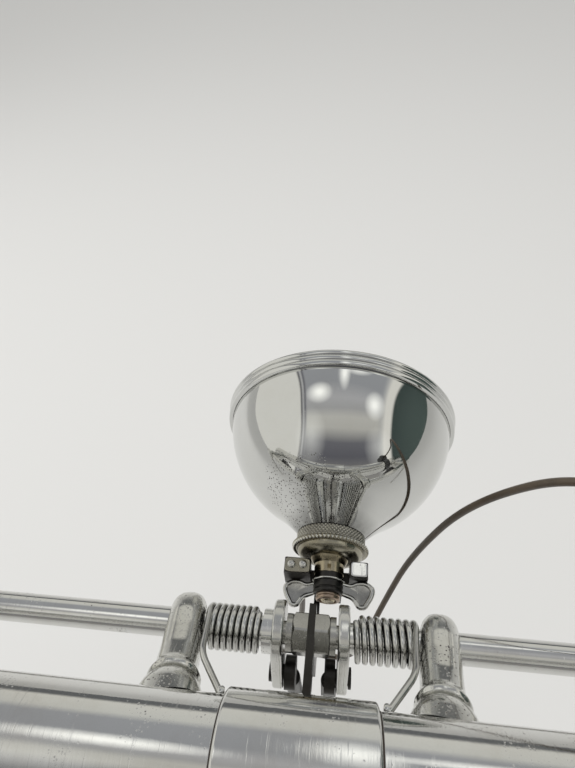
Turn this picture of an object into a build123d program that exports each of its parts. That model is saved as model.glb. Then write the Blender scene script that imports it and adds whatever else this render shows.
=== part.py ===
"""Bicycle handlebar with stem, rod-brake levers and headlamp, in millimetres.

+X is the rider's right, +Y is forward, +Z is up. The origin is on the stem column's axis,
at the line down to which the quill goes into the steering head.
"""
import os
from math import asin, atan2, cos, radians, sin, sqrt, tan

from build123d import *

# Clearances
RUN_CLEAR = 0.05
SEAT_CLEAR = 0.05
SIDE_CLEAR = 0.3

# Stem
QUILL_DIA = 22.2
QUILL_WALL = 2.6
QUILL_DEPTH = 92.0
QUILL_CUT_DEG = 35.0
STEM_REACH = 48.0
BAR_HEIGHT = 72.0
HEAD_DIA = 27.4
HEAD_ABOVE = 13.5
HEAD_BELOW = 17.0
EXTENSION_DIA = 20.6
LUG_DIA = 23.4
LUG_LENGTH = 6.5
SLEEVE_DIA = 25.4
SLEEVE_LENGTH = 32.1
WEDGE_LENGTH = 34.0
EXPANDER_DIA = 8.0
EXPANDER_HEAD_AF = 13.0
EXPANDER_HEAD = 5.5

# Handlebar and grips
BAR_DIA = 22.2
BAR_WALL = 1.6
BAR_STRAIGHT = 135.0
BAR_BEND_RADIUS = 85.0
BAR_SWEEP_DEG = 72.0
BAR_DROP_DEG = 7.0
BAR_TAIL = 128.0
GRIP_DIA = 30.0
GRIP_SWELL = 1.4
GRIP_LENGTH = 118.0
GRIP_END = 4.5
GRIP_FLANGE_DIA = 36.0
GRIP_FLANGE = 4.0
GRIP_RIBS = 9
GRIP_RIB_DEPTH = 0.9

# Brake levers and their linkage
LINKAGE_X = 0.25
ROD_DIA = 8.0
ROD_FORWARD = 29.98
ROD_BELOW = 24.65
ROD_BEND_RADIUS = 52.0
STUD_IN_ROD = 7.5
STUD_END_GAP = 1.5
LEVER_DROP_DEG = 20.0
LEVER_LENGTH = 168.0
KNOB_DIA = 11.2
ARM_OUT = 8.9
ARM_THICK = 3.1
ARM_HUB_DIA = 16.8
ARM_TAIL_DIA = 8.6
ARM_LENGTH = 13.7
ARM_DIP_DEG = 55.0
ARM_EDGE = 0.7
COLLAR_DIA = 11.5
COLLAR_LENGTH = 2.8
STUD_DIA = 6.0
NUT_AF = 10.0
NUT_THICK = 4.2
WASHER_DIA = 10.0
WASHER_THICK = 1.6
PIN_DIA = 4.0
PIN_PROUD = 0.8
PIN_HEAD_DIA = 5.6
PULL_EYE_DIA = 9.0
PULL_EYE_THICK = 3.0
PULL_EYE_DROP = 9.0
PULL_ROD_DIA = 5.0
PULL_ROD_LENGTH = 150.0

# Posts that carry the rods
POST_OUT = 34.8
OUTER_POST_OUT = 124.0
POST_LEAN = 5.0
POST_WIDTH = 10.8
POST_DEPTH = 12.6
POST_EYE_DIA = 16.4
POST_ROUND = 4.4
FOOT_DIA = 16.4
FOOT_RISE = 5.6
RING_DIA = 12.6
RING_RISE = 2.8
GROOVE_DIA = 9.8

# Return springs
SPRING_COILS = 8
SPRING_PITCH_LEFT = 1.75
SPRING_PITCH_RIGHT = 2.0
SPRING_DIA = 12.3
SPRING_WIRE = 1.65
SPRING_LEG = 17.0
SPRING_HOOK_OUT = 18.4
SPRING_HOOK_DEG = -25.0
SPRING_HOOK = 3.5

# Lamp bracket and ball joint
PLATE_THICK = 2.0
PLATE_WIDTH = 9.0
PLATE_DIP = 66.5
PLATE_REAR = 4.0
PLATE_BEND = 4.0
LAMP_X = 4.2
LAMP_TURN_DEG = 1.5
LAMP_BELOW = 45.7
STRAP_FORWARD = 51.7
STRAP_WIDTH = 9.5
STRAP_THICK = 1.8
CROSS_GAP = 0.9
CROSS_HEIGHT = 3.4
EAR_DEPTH = 5.0
EAR_RISE = 5.7
EAR_LEFT_IN = 6.1
EAR_LEFT_OUT = 14.9
EAR_RIGHT_IN = 6.8
EAR_RIGHT_OUT = 12.8
BARREL_DIA = 10.0
BARREL_LENGTH = 2.8
BARREL_SLOT = 1.2
BALL_DIA = 15.0
BALL_FLAT = 4.6
SCREW_DIA = 5.6
SCREW_LENGTH = 8.6
WING_HUB_DIA = 10.0
WING_HUB = 4.6
WING_RING = 2.0
WING_RING_DIA = 8.0
WING_SPAN = 30.6
WING_FAN = 8.0
WING_REACH = 4.6
WING_THICK = 1.8
WING_TURN_DEG = 8.0

# Headlamp
FLANGE_DIA = 26.6
FLANGE_THICK = 1.6
FLANGE_LIP = 0.8
HUB_DIA = 23.0
HUB_BACK_DIA = 14.8
HUB_DEPTH = 3.8
KNURL_DIA = 24.0
KNURL_LENGTH = 3.95
SOCKET_DIA = 20.0
SOCKET_DEPTH = 4.2
BOWL_RADIUS = 43.4
BOWL_WALL = 1.2
BOWL_BACK = 7.2
BOWL_MOUTH = 2.6
NECK_DIA = 23.6
NECK_SPREAD = 46.0
RIM_THICK = 1.8
RIM_GROOVE = 0.6
RIM_BACK = 1.0
RIM_FRONT = 1.65
RIM_LIP = 4.6
RIM_FLARE = 0.4
GLASS_THICK = 2.4
GLASS_BULGE = 7.0
REFLECTOR_WALL = 0.9
REFLECTOR_DIA = 74.0
REFLECTOR_DEPTH = 24.0
BULB_DIA = 9.4
BULB_LENGTH = 13.0
BULB_CAP = 8.0

# Switch and cable
SWITCH_OUT = 100.0
SWITCH_LENGTH = 18.0
SWITCH_DEPTH = 16.0
SWITCH_HEIGHT = 10.0
BAND_WALL = 1.8
BAND_LENGTH = 13.0
TOGGLE_DIA = 9.0
TOGGLE_THICK = 2.4
TOGGLE_REACH = 12.0
TOGGLE_SHAFT = 4.0
CABLE_DIA = 2.4
GLAND_DIA = 5.0
GLAND_LENGTH = 6.0
GLAND_IN = 5.0

bar_r, rod_r, quill_r = BAR_DIA / 2, ROD_DIA / 2, QUILL_DIA / 2
bar_y, bar_z = STEM_REACH, BAR_HEIGHT
rod_y, rod_z = bar_y + ROD_FORWARD, bar_z - ROD_BELOW
lamp_z = bar_z - LAMP_BELOW
ball_r = BALL_DIA / 2
ball_y = bar_y + STRAP_FORWARD + STRAP_THICK + BARREL_LENGTH + 0.8 * ball_r


def x_cyl(radius, x_from, x_to, y, z):
    return Pos((x_from + x_to) / 2, y, z) * Rot(0, 90, 0) * Cylinder(radius, abs(x_to - x_from))


def y_cyl(radius, y_from, y_to, x, z):
    return Pos(x, (y_from + y_to) / 2, z) * Rot(90, 0, 0) * Cylinder(radius, abs(y_to - y_from))


def z_cyl(radius, z_from, z_to, x, y):
    return Pos(x, y, (z_from + z_to) / 2) * Cylinder(radius, abs(z_to - z_from))


def box(x_from, x_to, y_from, y_to, z_from, z_to):
    centre = Pos((x_from + x_to) / 2, (y_from + y_to) / 2, (z_from + z_to) / 2)
    return centre * Box(abs(x_to - x_from), abs(y_to - y_from), abs(z_to - z_from))


def tube(points, radii, radius):
    path = FilletPolyline(*points, radius=radii)
    return sweep(Plane(origin=path @ 0, z_dir=path % 0) * Circle(radius), path=path)


def turned(points):
    return revolve(make_face(Polyline(*[(r, 0, s) for r, s in points], close=True)), Axis.Z)


def plate_yz(points, x_mid, thick, corner):
    """A flat plate standing across X, from its outline in Y and Z."""
    plane = Plane(origin=(x_mid - thick / 2, 0, 0), x_dir=(0, 1, 0), z_dir=(1, 0, 0))
    outline = make_face(Polyline(*points, close=True))
    return extrude(plane * fillet(outline.vertices(), corner), thick)


# Handlebar: a straight centre, then each end turns back and drops a little.
half_turn = tan(radians(BAR_SWEEP_DEG / 2))
corner_x = BAR_STRAIGHT + BAR_BEND_RADIUS * half_turn
grip_dir = Vector(cos(radians(BAR_SWEEP_DEG)), -sin(radians(BAR_SWEEP_DEG)), -sin(radians(BAR_DROP_DEG)))
grip_dir = grip_dir.normalized()
bar_end = Vector(corner_x, bar_y, bar_z) + grip_dir * (BAR_BEND_RADIUS * half_turn + BAR_TAIL)
bar_points = [(-bar_end.X, bar_end.Y, bar_end.Z), (-corner_x, bar_y, bar_z),
              (corner_x, bar_y, bar_z), tuple(bar_end)]
handlebar = tube(bar_points, [BAR_BEND_RADIUS] * 2, bar_r)
handlebar -= tube(bar_points, [BAR_BEND_RADIUS] * 2, bar_r - BAR_WALL)

# Grips: an open flange towards the rider's thumb, a ribbed and slightly swelled body, a closed end.
grip_r = GRIP_DIA / 2
rib_start, rib_end = GRIP_FLANGE + 6.0, GRIP_LENGTH - 10.0
rib_pitch = (rib_end - rib_start) / GRIP_RIBS


def grip_radius(s):
    t = (s - GRIP_FLANGE) / (GRIP_LENGTH - GRIP_FLANGE)
    return grip_r + GRIP_SWELL * (1 - (2 * t - 1)**2)


flange_top = GRIP_FLANGE_DIA / 2
grip_line = [(0, 0), (flange_top, 0), (flange_top, GRIP_FLANGE - 1), (grip_r + 1, GRIP_FLANGE)]
for i in range(GRIP_RIBS):
    start = rib_start + i * rib_pitch
    for s, dip in ((0.0, 0), (0.12, 1), (0.24, 1), (0.36, 0)):
        at = start + s * rib_pitch
        grip_line.append((grip_radius(at) - dip * GRIP_RIB_DEPTH, at))
grip_line += [(grip_radius(rib_end), rib_end), (grip_r - 0.5, GRIP_LENGTH - 3.5), (grip_r - 4.0, GRIP_LENGTH),
              (0, GRIP_LENGTH)]
grip_at = Plane(origin=tuple(bar_end - grip_dir * (GRIP_LENGTH - GRIP_END)), z_dir=tuple(grip_dir)).location
grip_right = grip_at * turned(grip_line)
grip_right -= grip_at * (Pos(0, 0, (GRIP_LENGTH - GRIP_END) / 2)
                         * Cylinder(bar_r + SEAT_CLEAR, GRIP_LENGTH - GRIP_END))
grip_left = mirror(grip_right, about=Plane.YZ)

# Stem: column with its quill, the lugged head, the extension and the sleeve round the bar.
head_top = bar_z + HEAD_ABOVE
head_r, lug_r, sleeve_r = HEAD_DIA / 2, LUG_DIA / 2, SLEEVE_DIA / 2
head = turned([(0, bar_z - HEAD_BELOW), (quill_r + 0.8, bar_z - HEAD_BELOW), (head_r, bar_z - HEAD_BELOW + 3),
               (head_r, head_top - 3.4), (head_r - 1.2, head_top - 1.4), (head_r - 4.0, head_top),
                (0, head_top)])
stem = z_cyl(quill_r, -QUILL_DEPTH, bar_z, 0, 0) + head
stem += y_cyl(EXTENSION_DIA / 2, 0, bar_y, 0, bar_z)
stem += y_cyl(lug_r, 0, head_r + LUG_LENGTH, 0, bar_z)
stem += y_cyl(lug_r, bar_y - sleeve_r - LUG_LENGTH, bar_y, 0, bar_z)
sleeve = x_cyl(sleeve_r, -SLEEVE_LENGTH / 2, SLEEVE_LENGTH / 2, bar_y, bar_z)
stem += fillet(sleeve.edges().filter_by(GeomType.CIRCLE), 0.7)
stem -= z_cyl(quill_r - QUILL_WALL, -QUILL_DEPTH - 1, bar_z - HEAD_BELOW / 2, 0, 0)
stem -= z_cyl(EXPANDER_DIA / 2 + SIDE_CLEAR, 0, head_top + 1, 0, 0)
stem -= x_cyl(bar_r + SEAT_CLEAR, -SLEEVE_LENGTH, SLEEVE_LENGTH, bar_y, bar_z)
cut_tilt = radians(QUILL_CUT_DEG)
cut_dir = (0, cos(cut_tilt), -sin(cut_tilt))
cut_plane = Plane(origin=(0, 0, quill_r - QUILL_DEPTH), x_dir=(1, 0, 0), z_dir=cut_dir)
half_space = Rectangle(4 * QUILL_DIA, 4 * QUILL_DIA)
stem -= extrude(cut_plane * half_space, 3 * QUILL_DIA)

wedge_foot = -QUILL_DEPTH - WEDGE_LENGTH
expander_wedge = z_cyl(quill_r - 0.2, wedge_foot, 0, 0, 0)
expander_wedge &= extrude(cut_plane.offset(SIDE_CLEAR) * half_space, 6 * QUILL_DIA)
expander_wedge -= z_cyl(EXPANDER_DIA / 2 + RUN_CLEAR, wedge_foot - 1, 1, 0, 0)
expander_bolt = z_cyl(EXPANDER_DIA / 2, wedge_foot + 4, head_top, 0, 0)
bolt_head = extrude(RegularPolygon(EXPANDER_HEAD_AF / 2, 6, major_radius=False), EXPANDER_HEAD)
bolt_head &= turned([(0, 0), (0.56 * EXPANDER_HEAD_AF, 0), (0.56 * EXPANDER_HEAD_AF, EXPANDER_HEAD - 1),
                     (0.46 * EXPANDER_HEAD_AF, EXPANDER_HEAD), (0, EXPANDER_HEAD)])
expander_bolt += Pos(0, 0, head_top) * bolt_head

# Posts: a domed foot on the bar, a ring above a groove, and a rounded body with an eye round the rod.
# Each leans outward, so its foot stands nearer the middle than its eye.
foot_top = bar_r + FOOT_RISE
ring_top = foot_top + RING_RISE
foot_r, ring_r, groove_r = FOOT_DIA / 2, RING_DIA / 2, GROOVE_DIA / 2


def post_direction(side):
    return Vector(side * POST_LEAN, ROD_FORWARD, -ROD_BELOW).normalized()


def post(x):
    side = 1 if x > 0 else -1
    up = post_direction(side)
    across = (Vector(1, 0, 0) - up * up.X).normalized()
    plane = Plane(origin=(x - side * POST_LEAN, bar_y, bar_z), x_dir=tuple(across), z_dir=tuple(up))
    line = Polyline((0, 0, bar_r / 2), (foot_r, 0, bar_r / 2), (foot_r, 0, bar_r - 1.5))
    line += ThreePointArc((foot_r, 0, bar_r - 1.5), (foot_r - 1.1, 0, bar_r + 2.6), (groove_r, 0, foot_top))
    line += Line((groove_r, 0, foot_top), (groove_r, 0, foot_top + 0.5))
    line += ThreePointArc((groove_r, 0, foot_top + 0.5), (ring_r, 0, foot_top + 0.5 * (RING_RISE + 0.5)),
                          (groove_r, 0, ring_top))
    line += Polyline((groove_r, 0, ring_top), (0, 0, ring_top), (0, 0, bar_r / 2))
    body = plane.location * revolve(make_face(line), Axis.Z)
    block = RectangleRounded(POST_WIDTH, POST_DEPTH, POST_ROUND)
    span = Vector(POST_LEAN, ROD_FORWARD, ROD_BELOW).length
    body += extrude(plane.offset(ring_top - 0.9) * block, span - ring_top + 0.9)
    eye = x_cyl(POST_EYE_DIA / 2, x - POST_WIDTH / 2, x + POST_WIDTH / 2, rod_y, rod_z)
    body += fillet(eye.edges().filter_by(GeomType.CIRCLE), POST_ROUND)
    body -= x_cyl(rod_r + RUN_CLEAR, x - POST_WIDTH, x + POST_WIDTH, rod_y, rod_z)
    body -= x_cyl(bar_r + SEAT_CLEAR, x - 2 * FOOT_DIA, x + 2 * FOOT_DIA, bar_y, bar_z)
    return body


post_left, post_right = post(-POST_OUT), post(POST_OUT)
outer_post_left, outer_post_right = post(-OUTER_POST_OUT), post(OUTER_POST_OUT)

# Lamp bracket: a plate on edge from the sleeve, past the pivot and under the wing nut.
strap_back = bar_y + STRAP_FORWARD
strap_front = strap_back + STRAP_THICK
dip_z = bar_z - PLATE_DIP
half_plate = PLATE_WIDTH / 2
front_y = rod_y + half_plate + PLATE_BEND
sleeve_foot = bar_z - sleeve_r
plate_line = [
    (bar_y - PLATE_REAR, sleeve_foot + PLATE_THICK), (bar_y + PLATE_WIDTH, sleeve_foot + PLATE_THICK),
    (rod_y, rod_z + half_plate), (front_y, rod_z), (front_y, dip_z + half_plate),
    (strap_front, dip_z + half_plate), (strap_front, dip_z - half_plate),
    (rod_y + half_plate, dip_z - half_plate), (rod_y - half_plate, dip_z + half_plate),
    (rod_y - half_plate, rod_z - half_plate),
    (bar_y + half_plate, sleeve_foot - half_plate), (bar_y - PLATE_REAR, sleeve_foot - half_plate)]
plate = plate_yz(plate_line, LINKAGE_X, PLATE_THICK, 1.2)
plate -= x_cyl(sleeve_r + SEAT_CLEAR, -2 * PLATE_THICK, 2 * PLATE_THICK, bar_y, bar_z)
plate -= x_cyl(STUD_DIA / 2 + SEAT_CLEAR, -2 * PLATE_THICK, 2 * PLATE_THICK, rod_y, rod_z)

# The strap stands across the plate's end, with a round top and an ear on each side.
barrel_r, screw_r = BARREL_DIA / 2, SCREW_DIA / 2
strap_r = STRAP_WIDTH / 2
cross_top = lamp_z - barrel_r - CROSS_GAP
cross_foot = cross_top - CROSS_HEIGHT
ear_top, ear_front = lamp_z + EAR_RISE, strap_back + EAR_DEPTH
strap = y_cyl(strap_r, strap_back, strap_front, LAMP_X, lamp_z)
strap += box(LAMP_X - strap_r, LAMP_X + strap_r, strap_back, strap_front, dip_z - half_plate, lamp_z)
strap += box(LAMP_X - EAR_LEFT_OUT, LAMP_X + EAR_RIGHT_OUT, strap_back, ear_front, cross_foot, cross_top)
ears = box(LAMP_X - EAR_LEFT_OUT, LAMP_X - EAR_LEFT_IN, strap_back, ear_front, cross_foot, ear_top)
ears += box(LAMP_X + EAR_RIGHT_IN, LAMP_X + EAR_RIGHT_OUT, strap_back, ear_front, cross_foot, ear_top)
strap += fillet(ears.edges().filter_by(Axis.Y), 0.8)
strap -= y_cyl(screw_r + SEAT_CLEAR, strap_back - 1, strap_front + 1, LAMP_X, lamp_z)
gland_x, gland_y = LAMP_X - EAR_LEFT_OUT + GLAND_IN, (strap_back + ear_front) / 2
gland_z = cross_foot - GLAND_LENGTH
lamp_bracket = plate + strap + z_cyl(GLAND_DIA / 2, gland_z, cross_foot + 1, gland_x, gland_y)

# Ball stem: the ball, the barrel in front of the strap, and the screw behind it with its wing nut.
ball_stem = Pos(LAMP_X, ball_y, lamp_z) * Sphere(ball_r)
ball_stem -= box(LAMP_X - ball_r, LAMP_X + ball_r, ball_y + BALL_FLAT, ball_y + 2 * ball_r,
                 lamp_z - ball_r, lamp_z + ball_r)
ball_stem += y_cyl(barrel_r, strap_front, ball_y - ball_r / 2, LAMP_X, lamp_z)
ball_stem -= box(LAMP_X - BARREL_SLOT / 2, LAMP_X + BARREL_SLOT / 2, strap_front - 1, strap_front + 2.2,
                 lamp_z + screw_r, lamp_z + ball_r)
ball_stem += y_cyl(screw_r, strap_front - SCREW_LENGTH, strap_front + 1, LAMP_X, lamp_z)
ball_stem = chamfer(ball_stem.edges().filter_by(GeomType.CIRCLE).sort_by(Axis.Y)[0], 0.9)

wing_back = strap_back - WING_HUB
wing_turn = radians(WING_TURN_DEG)
wing_plane = Plane(origin=(LAMP_X, strap_back, lamp_z), x_dir=(cos(wing_turn), 0, sin(wing_turn)),
                   z_dir=(-sin(wing_turn), 0, cos(wing_turn)))
hub_r, wing_r = WING_HUB_DIA / 2, WING_SPAN / 2
fan_in, fan_mid, fan_tip = wing_r - WING_FAN, wing_r - WING_FAN / 2, 1.5
fan_top, wing_foot = -WING_HUB / 2, -WING_HUB - WING_REACH
tip_top = wing_foot + 1.2
wing_edge = ThreePointArc((fan_in, fan_top), (fan_mid, fan_top + 1.1), (wing_r, fan_top - 1.2))
wing_edge += Line((wing_r, fan_top - 1.2), (fan_mid + fan_tip, tip_top))
wing_edge += ThreePointArc((fan_mid + fan_tip, tip_top), (fan_mid, wing_foot), (fan_mid - fan_tip, tip_top))
wing_edge += Polyline((fan_mid - fan_tip, tip_top), (fan_in, -WING_HUB - 0.4), (hub_r - 1, -WING_HUB),
                      (hub_r - 1, fan_top), (fan_in, fan_top))
wing = extrude(wing_plane.offset(-WING_THICK / 2) * make_face(wing_edge), WING_THICK)
wing_nut = y_cyl(hub_r, wing_back, strap_back, LAMP_X, lamp_z)
wing_nut += y_cyl(WING_RING_DIA / 2, wing_back - WING_RING, wing_back + 0.2, LAMP_X, lamp_z)
wing_nut += wing + wing.rotate(Axis((LAMP_X, 0, lamp_z), (0, 1, 0)), 180)
wing_nut -= y_cyl(screw_r + SEAT_CLEAR, wing_back - WING_RING - 1, strap_back + 1, LAMP_X, lamp_z)

# Pivot stud with a thin nut and a washer on each side of the plate.
arm_in = ARM_OUT - ARM_THICK / 2
arm_outer = ARM_OUT + ARM_THICK / 2
stud_half = arm_outer + STUD_IN_ROD
pivot_stud = x_cyl(STUD_DIA / 2, LINKAGE_X - stud_half, LINKAGE_X + stud_half, rod_y, rod_z)
nut = extrude(RegularPolygon(NUT_AF / 2, 6, major_radius=False), NUT_THICK)
nut &= turned([(0, 0), (0.56 * NUT_AF, 0), (0.56 * NUT_AF, NUT_THICK - 0.7), (0.48 * NUT_AF, NUT_THICK),
               (0, NUT_THICK)])
for side in (-1, 1):
    seat = LINKAGE_X + side * PLATE_THICK / 2
    pivot_stud += Pos(seat, rod_y, rod_z) * Rot(0, 90 * side, 0) * nut
    washer_in = seat + side * NUT_THICK
    pivot_stud += x_cyl(WASHER_DIA / 2, washer_in, washer_in + side * WASHER_THICK, rod_y, rod_z)

# Levers: each rod runs out along the bar, bends back and down under the grip, and ends in a knob.
corner_back = ROD_FORWARD / grip_dir.Y
lever_corner = Vector(corner_x + grip_dir.X * corner_back, rod_y, rod_z)
level_dir = Vector(grip_dir.X, grip_dir.Y, 0).normalized()
drop = radians(LEVER_DROP_DEG)
lever_dir = Vector(level_dir.X * cos(drop), level_dir.Y * cos(drop), -sin(drop))
lever_tip = lever_corner + lever_dir * LEVER_LENGTH
dip = radians(ARM_DIP_DEG)
pin_y, pin_z = rod_y - ARM_LENGTH * cos(dip), rod_z - ARM_LENGTH * sin(dip)


def lever(side, collar):
    inner = LINKAGE_X + side * arm_outer
    rod = tube([(inner, rod_y, rod_z), (side * lever_corner.X, rod_y, rod_z),
                (side * lever_tip.X, lever_tip.Y, lever_tip.Z)], [ROD_BEND_RADIUS], rod_r)
    rod += Pos(side * lever_tip.X, lever_tip.Y, lever_tip.Z) * Sphere(KNOB_DIA / 2)
    if collar:
        rod += x_cyl(COLLAR_DIA / 2, inner, inner + side * collar, rod_y, rod_z)
    bore_end = inner + side * (STUD_IN_ROD + STUD_END_GAP)
    return rod - x_cyl(STUD_DIA / 2 + RUN_CLEAR, inner - side, bore_end, rod_y, rod_z)


def arm(side):
    hull = make_hull([Circle(ARM_HUB_DIA / 2).edge(),
                      (Pos(pin_y - rod_y, pin_z - rod_z) * Circle(ARM_TAIL_DIA / 2)).edge()])
    x_mid = LINKAGE_X + side * ARM_OUT
    plane = Plane(origin=(x_mid - ARM_THICK / 2, rod_y, rod_z), x_dir=(0, 1, 0), z_dir=(1, 0, 0))
    link = extrude(plane * hull, ARM_THICK)
    link = fillet(link.faces().filter_by(Axis.X).edges(), ARM_EDGE)
    link -= x_cyl(STUD_DIA / 2 + RUN_CLEAR, x_mid - ARM_THICK, x_mid + ARM_THICK, rod_y, rod_z)
    return link - x_cyl(PIN_DIA / 2 + RUN_CLEAR, x_mid - ARM_THICK, x_mid + ARM_THICK, pin_y, pin_z)


lever_left, lever_right = lever(-1, COLLAR_LENGTH), lever(1, 0)
arm_left, arm_right = arm(-1), arm(1)


# Pull rods: an eye beside the arm's inner face, its pin through the arm, and the rod below.
def pull_rod(side):
    x_arm = LINKAGE_X + side * ARM_OUT
    eye_out = x_arm - side * (ARM_THICK / 2 + SIDE_CLEAR)
    eye_in = eye_out - side * PULL_EYE_THICK
    x = (eye_in + eye_out) / 2
    body = x_cyl(PULL_EYE_DIA / 2, eye_in, eye_out, pin_y, pin_z)
    foot = pin_z - PULL_EYE_DROP
    body += box(eye_in, eye_out, pin_y - PULL_ROD_DIA / 2, pin_y + PULL_ROD_DIA / 2, foot, pin_z)
    body = fillet(body.edges().filter_by(Axis.Z), 0.6)
    body += z_cyl(PULL_ROD_DIA / 2, foot - PULL_ROD_LENGTH, foot + 2, x, pin_y)
    pin_out = x_arm + side * (ARM_THICK / 2 + SIDE_CLEAR)
    body += x_cyl(PIN_DIA / 2, eye_in, pin_out + side * PIN_PROUD, pin_y, pin_z)
    return body + x_cyl(PIN_HEAD_DIA / 2, pin_out, pin_out + side * PIN_PROUD, pin_y, pin_z)


pull_rod_left, pull_rod_right = pull_rod(-1), pull_rod(1)

# Return springs: a coil round the rod, and a leg along the post that ends against the bar.
coil_r, wire_r = (SPRING_DIA - SPRING_WIRE) / 2, SPRING_WIRE / 2
post_tilt = atan2(-ROD_BELOW, ROD_FORWARD)
post_up = Vector(0, -sin(post_tilt), cos(post_tilt))
hook_turn = radians(SPRING_HOOK_DEG)
hook_gap = bar_r + wire_r + SEAT_CLEAR


def spring(side, pitch):
    x = side * (POST_OUT - POST_WIDTH / 2 - SIDE_CLEAR - wire_r)
    plane = Plane(origin=(x, rod_y, rod_z), x_dir=tuple(post_up), z_dir=(-side, 0, 0))
    coil = Helix(pitch, SPRING_COILS * pitch, coil_r, lefthand=side < 0)
    section = RegularPolygon(wire_r, 8)  # eight sides keep the coil's facets few
    coil = sweep(Plane(origin=coil @ 0, z_dir=coil % 0) * section, path=coil, is_frenet=True)
    start = Vector(x, rod_y, rod_z) + post_up * coil_r
    hook = Vector(side * SPRING_HOOK_OUT, bar_y + hook_gap * cos(hook_turn), bar_z + hook_gap * sin(hook_turn))
    tail = hook + Vector(0, -sin(hook_turn), cos(hook_turn)) * SPRING_HOOK
    leg = [tuple(p) for p in (start, start - post_direction(side) * SPRING_LEG, hook, tail)]
    join = Pos(*tuple(start)) * Sphere(wire_r + 0.02)
    return plane.location * coil + join + tube(leg, [3.0, 1.4], wire_r)


spring_left, spring_right = spring(-1, SPRING_PITCH_LEFT), spring(1, SPRING_PITCH_RIGHT)

# Lamp: each profile is in radius and distance forward of the ball's centre.
lamp_at = Pos(LAMP_X, ball_y, lamp_z) * Rot(0, 0, -LAMP_TURN_DEG) * Rot(-90, 0, 0)
socket_ball = Sphere(ball_r + RUN_CLEAR)
socket_r = SOCKET_DIA / 2
knurl_back = FLANGE_THICK - FLANGE_LIP
knurl_front = knurl_back + KNURL_LENGTH
flange_r, knurl_r = FLANGE_DIA / 2, KNURL_DIA / 2
hub_edge, hub_foot = HUB_DIA / 2, HUB_BACK_DIA / 2
flange_line = Line((0, 0, -HUB_DEPTH), (hub_foot, 0, -HUB_DEPTH))
flange_line += ThreePointArc((hub_foot, 0, -HUB_DEPTH), (hub_foot + 2.4, 0, 1 - HUB_DEPTH),
                             (hub_edge, 0, -FLANGE_LIP))
flange_line += Polyline((hub_edge, 0, -FLANGE_LIP), (flange_r - 0.4, 0, -FLANGE_LIP),
                        (flange_r, 0, 0.4 - FLANGE_LIP), (flange_r, 0, knurl_back - 0.4),
                        (flange_r - 0.4, 0, knurl_back), (0, 0, knurl_back), (0, 0, -HUB_DEPTH))
lamp_flange = lamp_at * (revolve(make_face(flange_line), Axis.Z) - socket_ball)
knurled_ring = turned([(0, knurl_back), (knurl_r - 0.5, knurl_back), (knurl_r, knurl_back + 0.5),
                       (knurl_r, knurl_front - 0.5), (knurl_r - 0.5, knurl_front), (socket_r, knurl_front),
                       (socket_r, knurl_front + SOCKET_DEPTH), (0, knurl_front + SOCKET_DEPTH)])
knurled_ring = lamp_at * (knurled_ring - socket_ball)

# The bowl is part of a sphere, drawn out at the back to a neck that seats on the knurled ring.
hole_r = socket_r + SEAT_CLEAR
bowl_mid = BOWL_BACK + BOWL_RADIUS
neck_back = knurl_front + SEAT_CLEAR
neck_angle = asin(NECK_SPREAD / 2 / BOWL_RADIUS)


def bowl_side(radius, neck_r, back):
    """Half the bowl's outline, from its mouth to its neck, as an arc and a reversed arc."""
    edge = (sqrt(radius**2 - BOWL_MOUTH**2), 0, bowl_mid - BOWL_MOUTH)
    middle = (radius * sin(radians(50)), 0, bowl_mid - radius * cos(radians(50)))
    turn = (radius * sin(neck_angle), 0, bowl_mid - radius * cos(neck_angle))
    curve = ThreePointArc(edge, middle, turn)
    return curve + TangentArc(turn, (neck_r, 0, back), tangent=(-cos(neck_angle), 0, -sin(neck_angle)))


neck_r = NECK_DIA / 2
inner_bowl = BOWL_RADIUS - BOWL_WALL
bowl_line = bowl_side(BOWL_RADIUS, neck_r, neck_back)
bowl_line += bowl_side(inner_bowl, neck_r - BOWL_WALL, neck_back + BOWL_WALL)
bowl_line += Polyline((neck_r, 0, neck_back), (hole_r, 0, neck_back), (hole_r, 0, neck_back + BOWL_WALL),
                      (neck_r - BOWL_WALL, 0, neck_back + BOWL_WALL))
bowl_line += Line((sqrt(BOWL_RADIUS**2 - BOWL_MOUTH**2), 0, bowl_mid - BOWL_MOUTH),
                  (sqrt(inner_bowl**2 - BOWL_MOUTH**2), 0, bowl_mid - BOWL_MOUTH))
lamp_bowl = lamp_at * revolve(make_face(bowl_line), Axis.Z)

mouth = bowl_mid - BOWL_MOUTH
inner_r = sqrt(BOWL_RADIUS**2 - BOWL_MOUTH**2) + SEAT_CLEAR
rim_r = inner_r + RIM_THICK
reflector_back = mouth + SEAT_CLEAR
glass_back = reflector_back + REFLECTOR_WALL + SEAT_CLEAR
lip_back = glass_back + GLASS_THICK + SEAT_CLEAR
rim_front = lip_back + RIM_FRONT
lip_r = inner_r - RIM_LIP
rim_back, groove_bed = mouth - RIM_BACK, rim_r - RIM_GROOVE
bead = (rim_front - rim_back) / 3
rim_line = [(inner_r, rim_back), (rim_r - 0.7, rim_back)]
for i, swell in enumerate((-0.2, 0.1, RIM_FLARE)):
    start = rim_back + i * bead
    rim_line += [(rim_r + swell, start + 0.35 * bead), (rim_r + swell, start + 0.65 * bead)]
    if i < 2:
        rim_line += [(groove_bed, start + bead)]
rim_line += [(rim_r - 0.6, rim_front), (lip_r, rim_front), (lip_r, lip_back), (inner_r, lip_back)]
lamp_rim = lamp_at * turned(rim_line)


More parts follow.
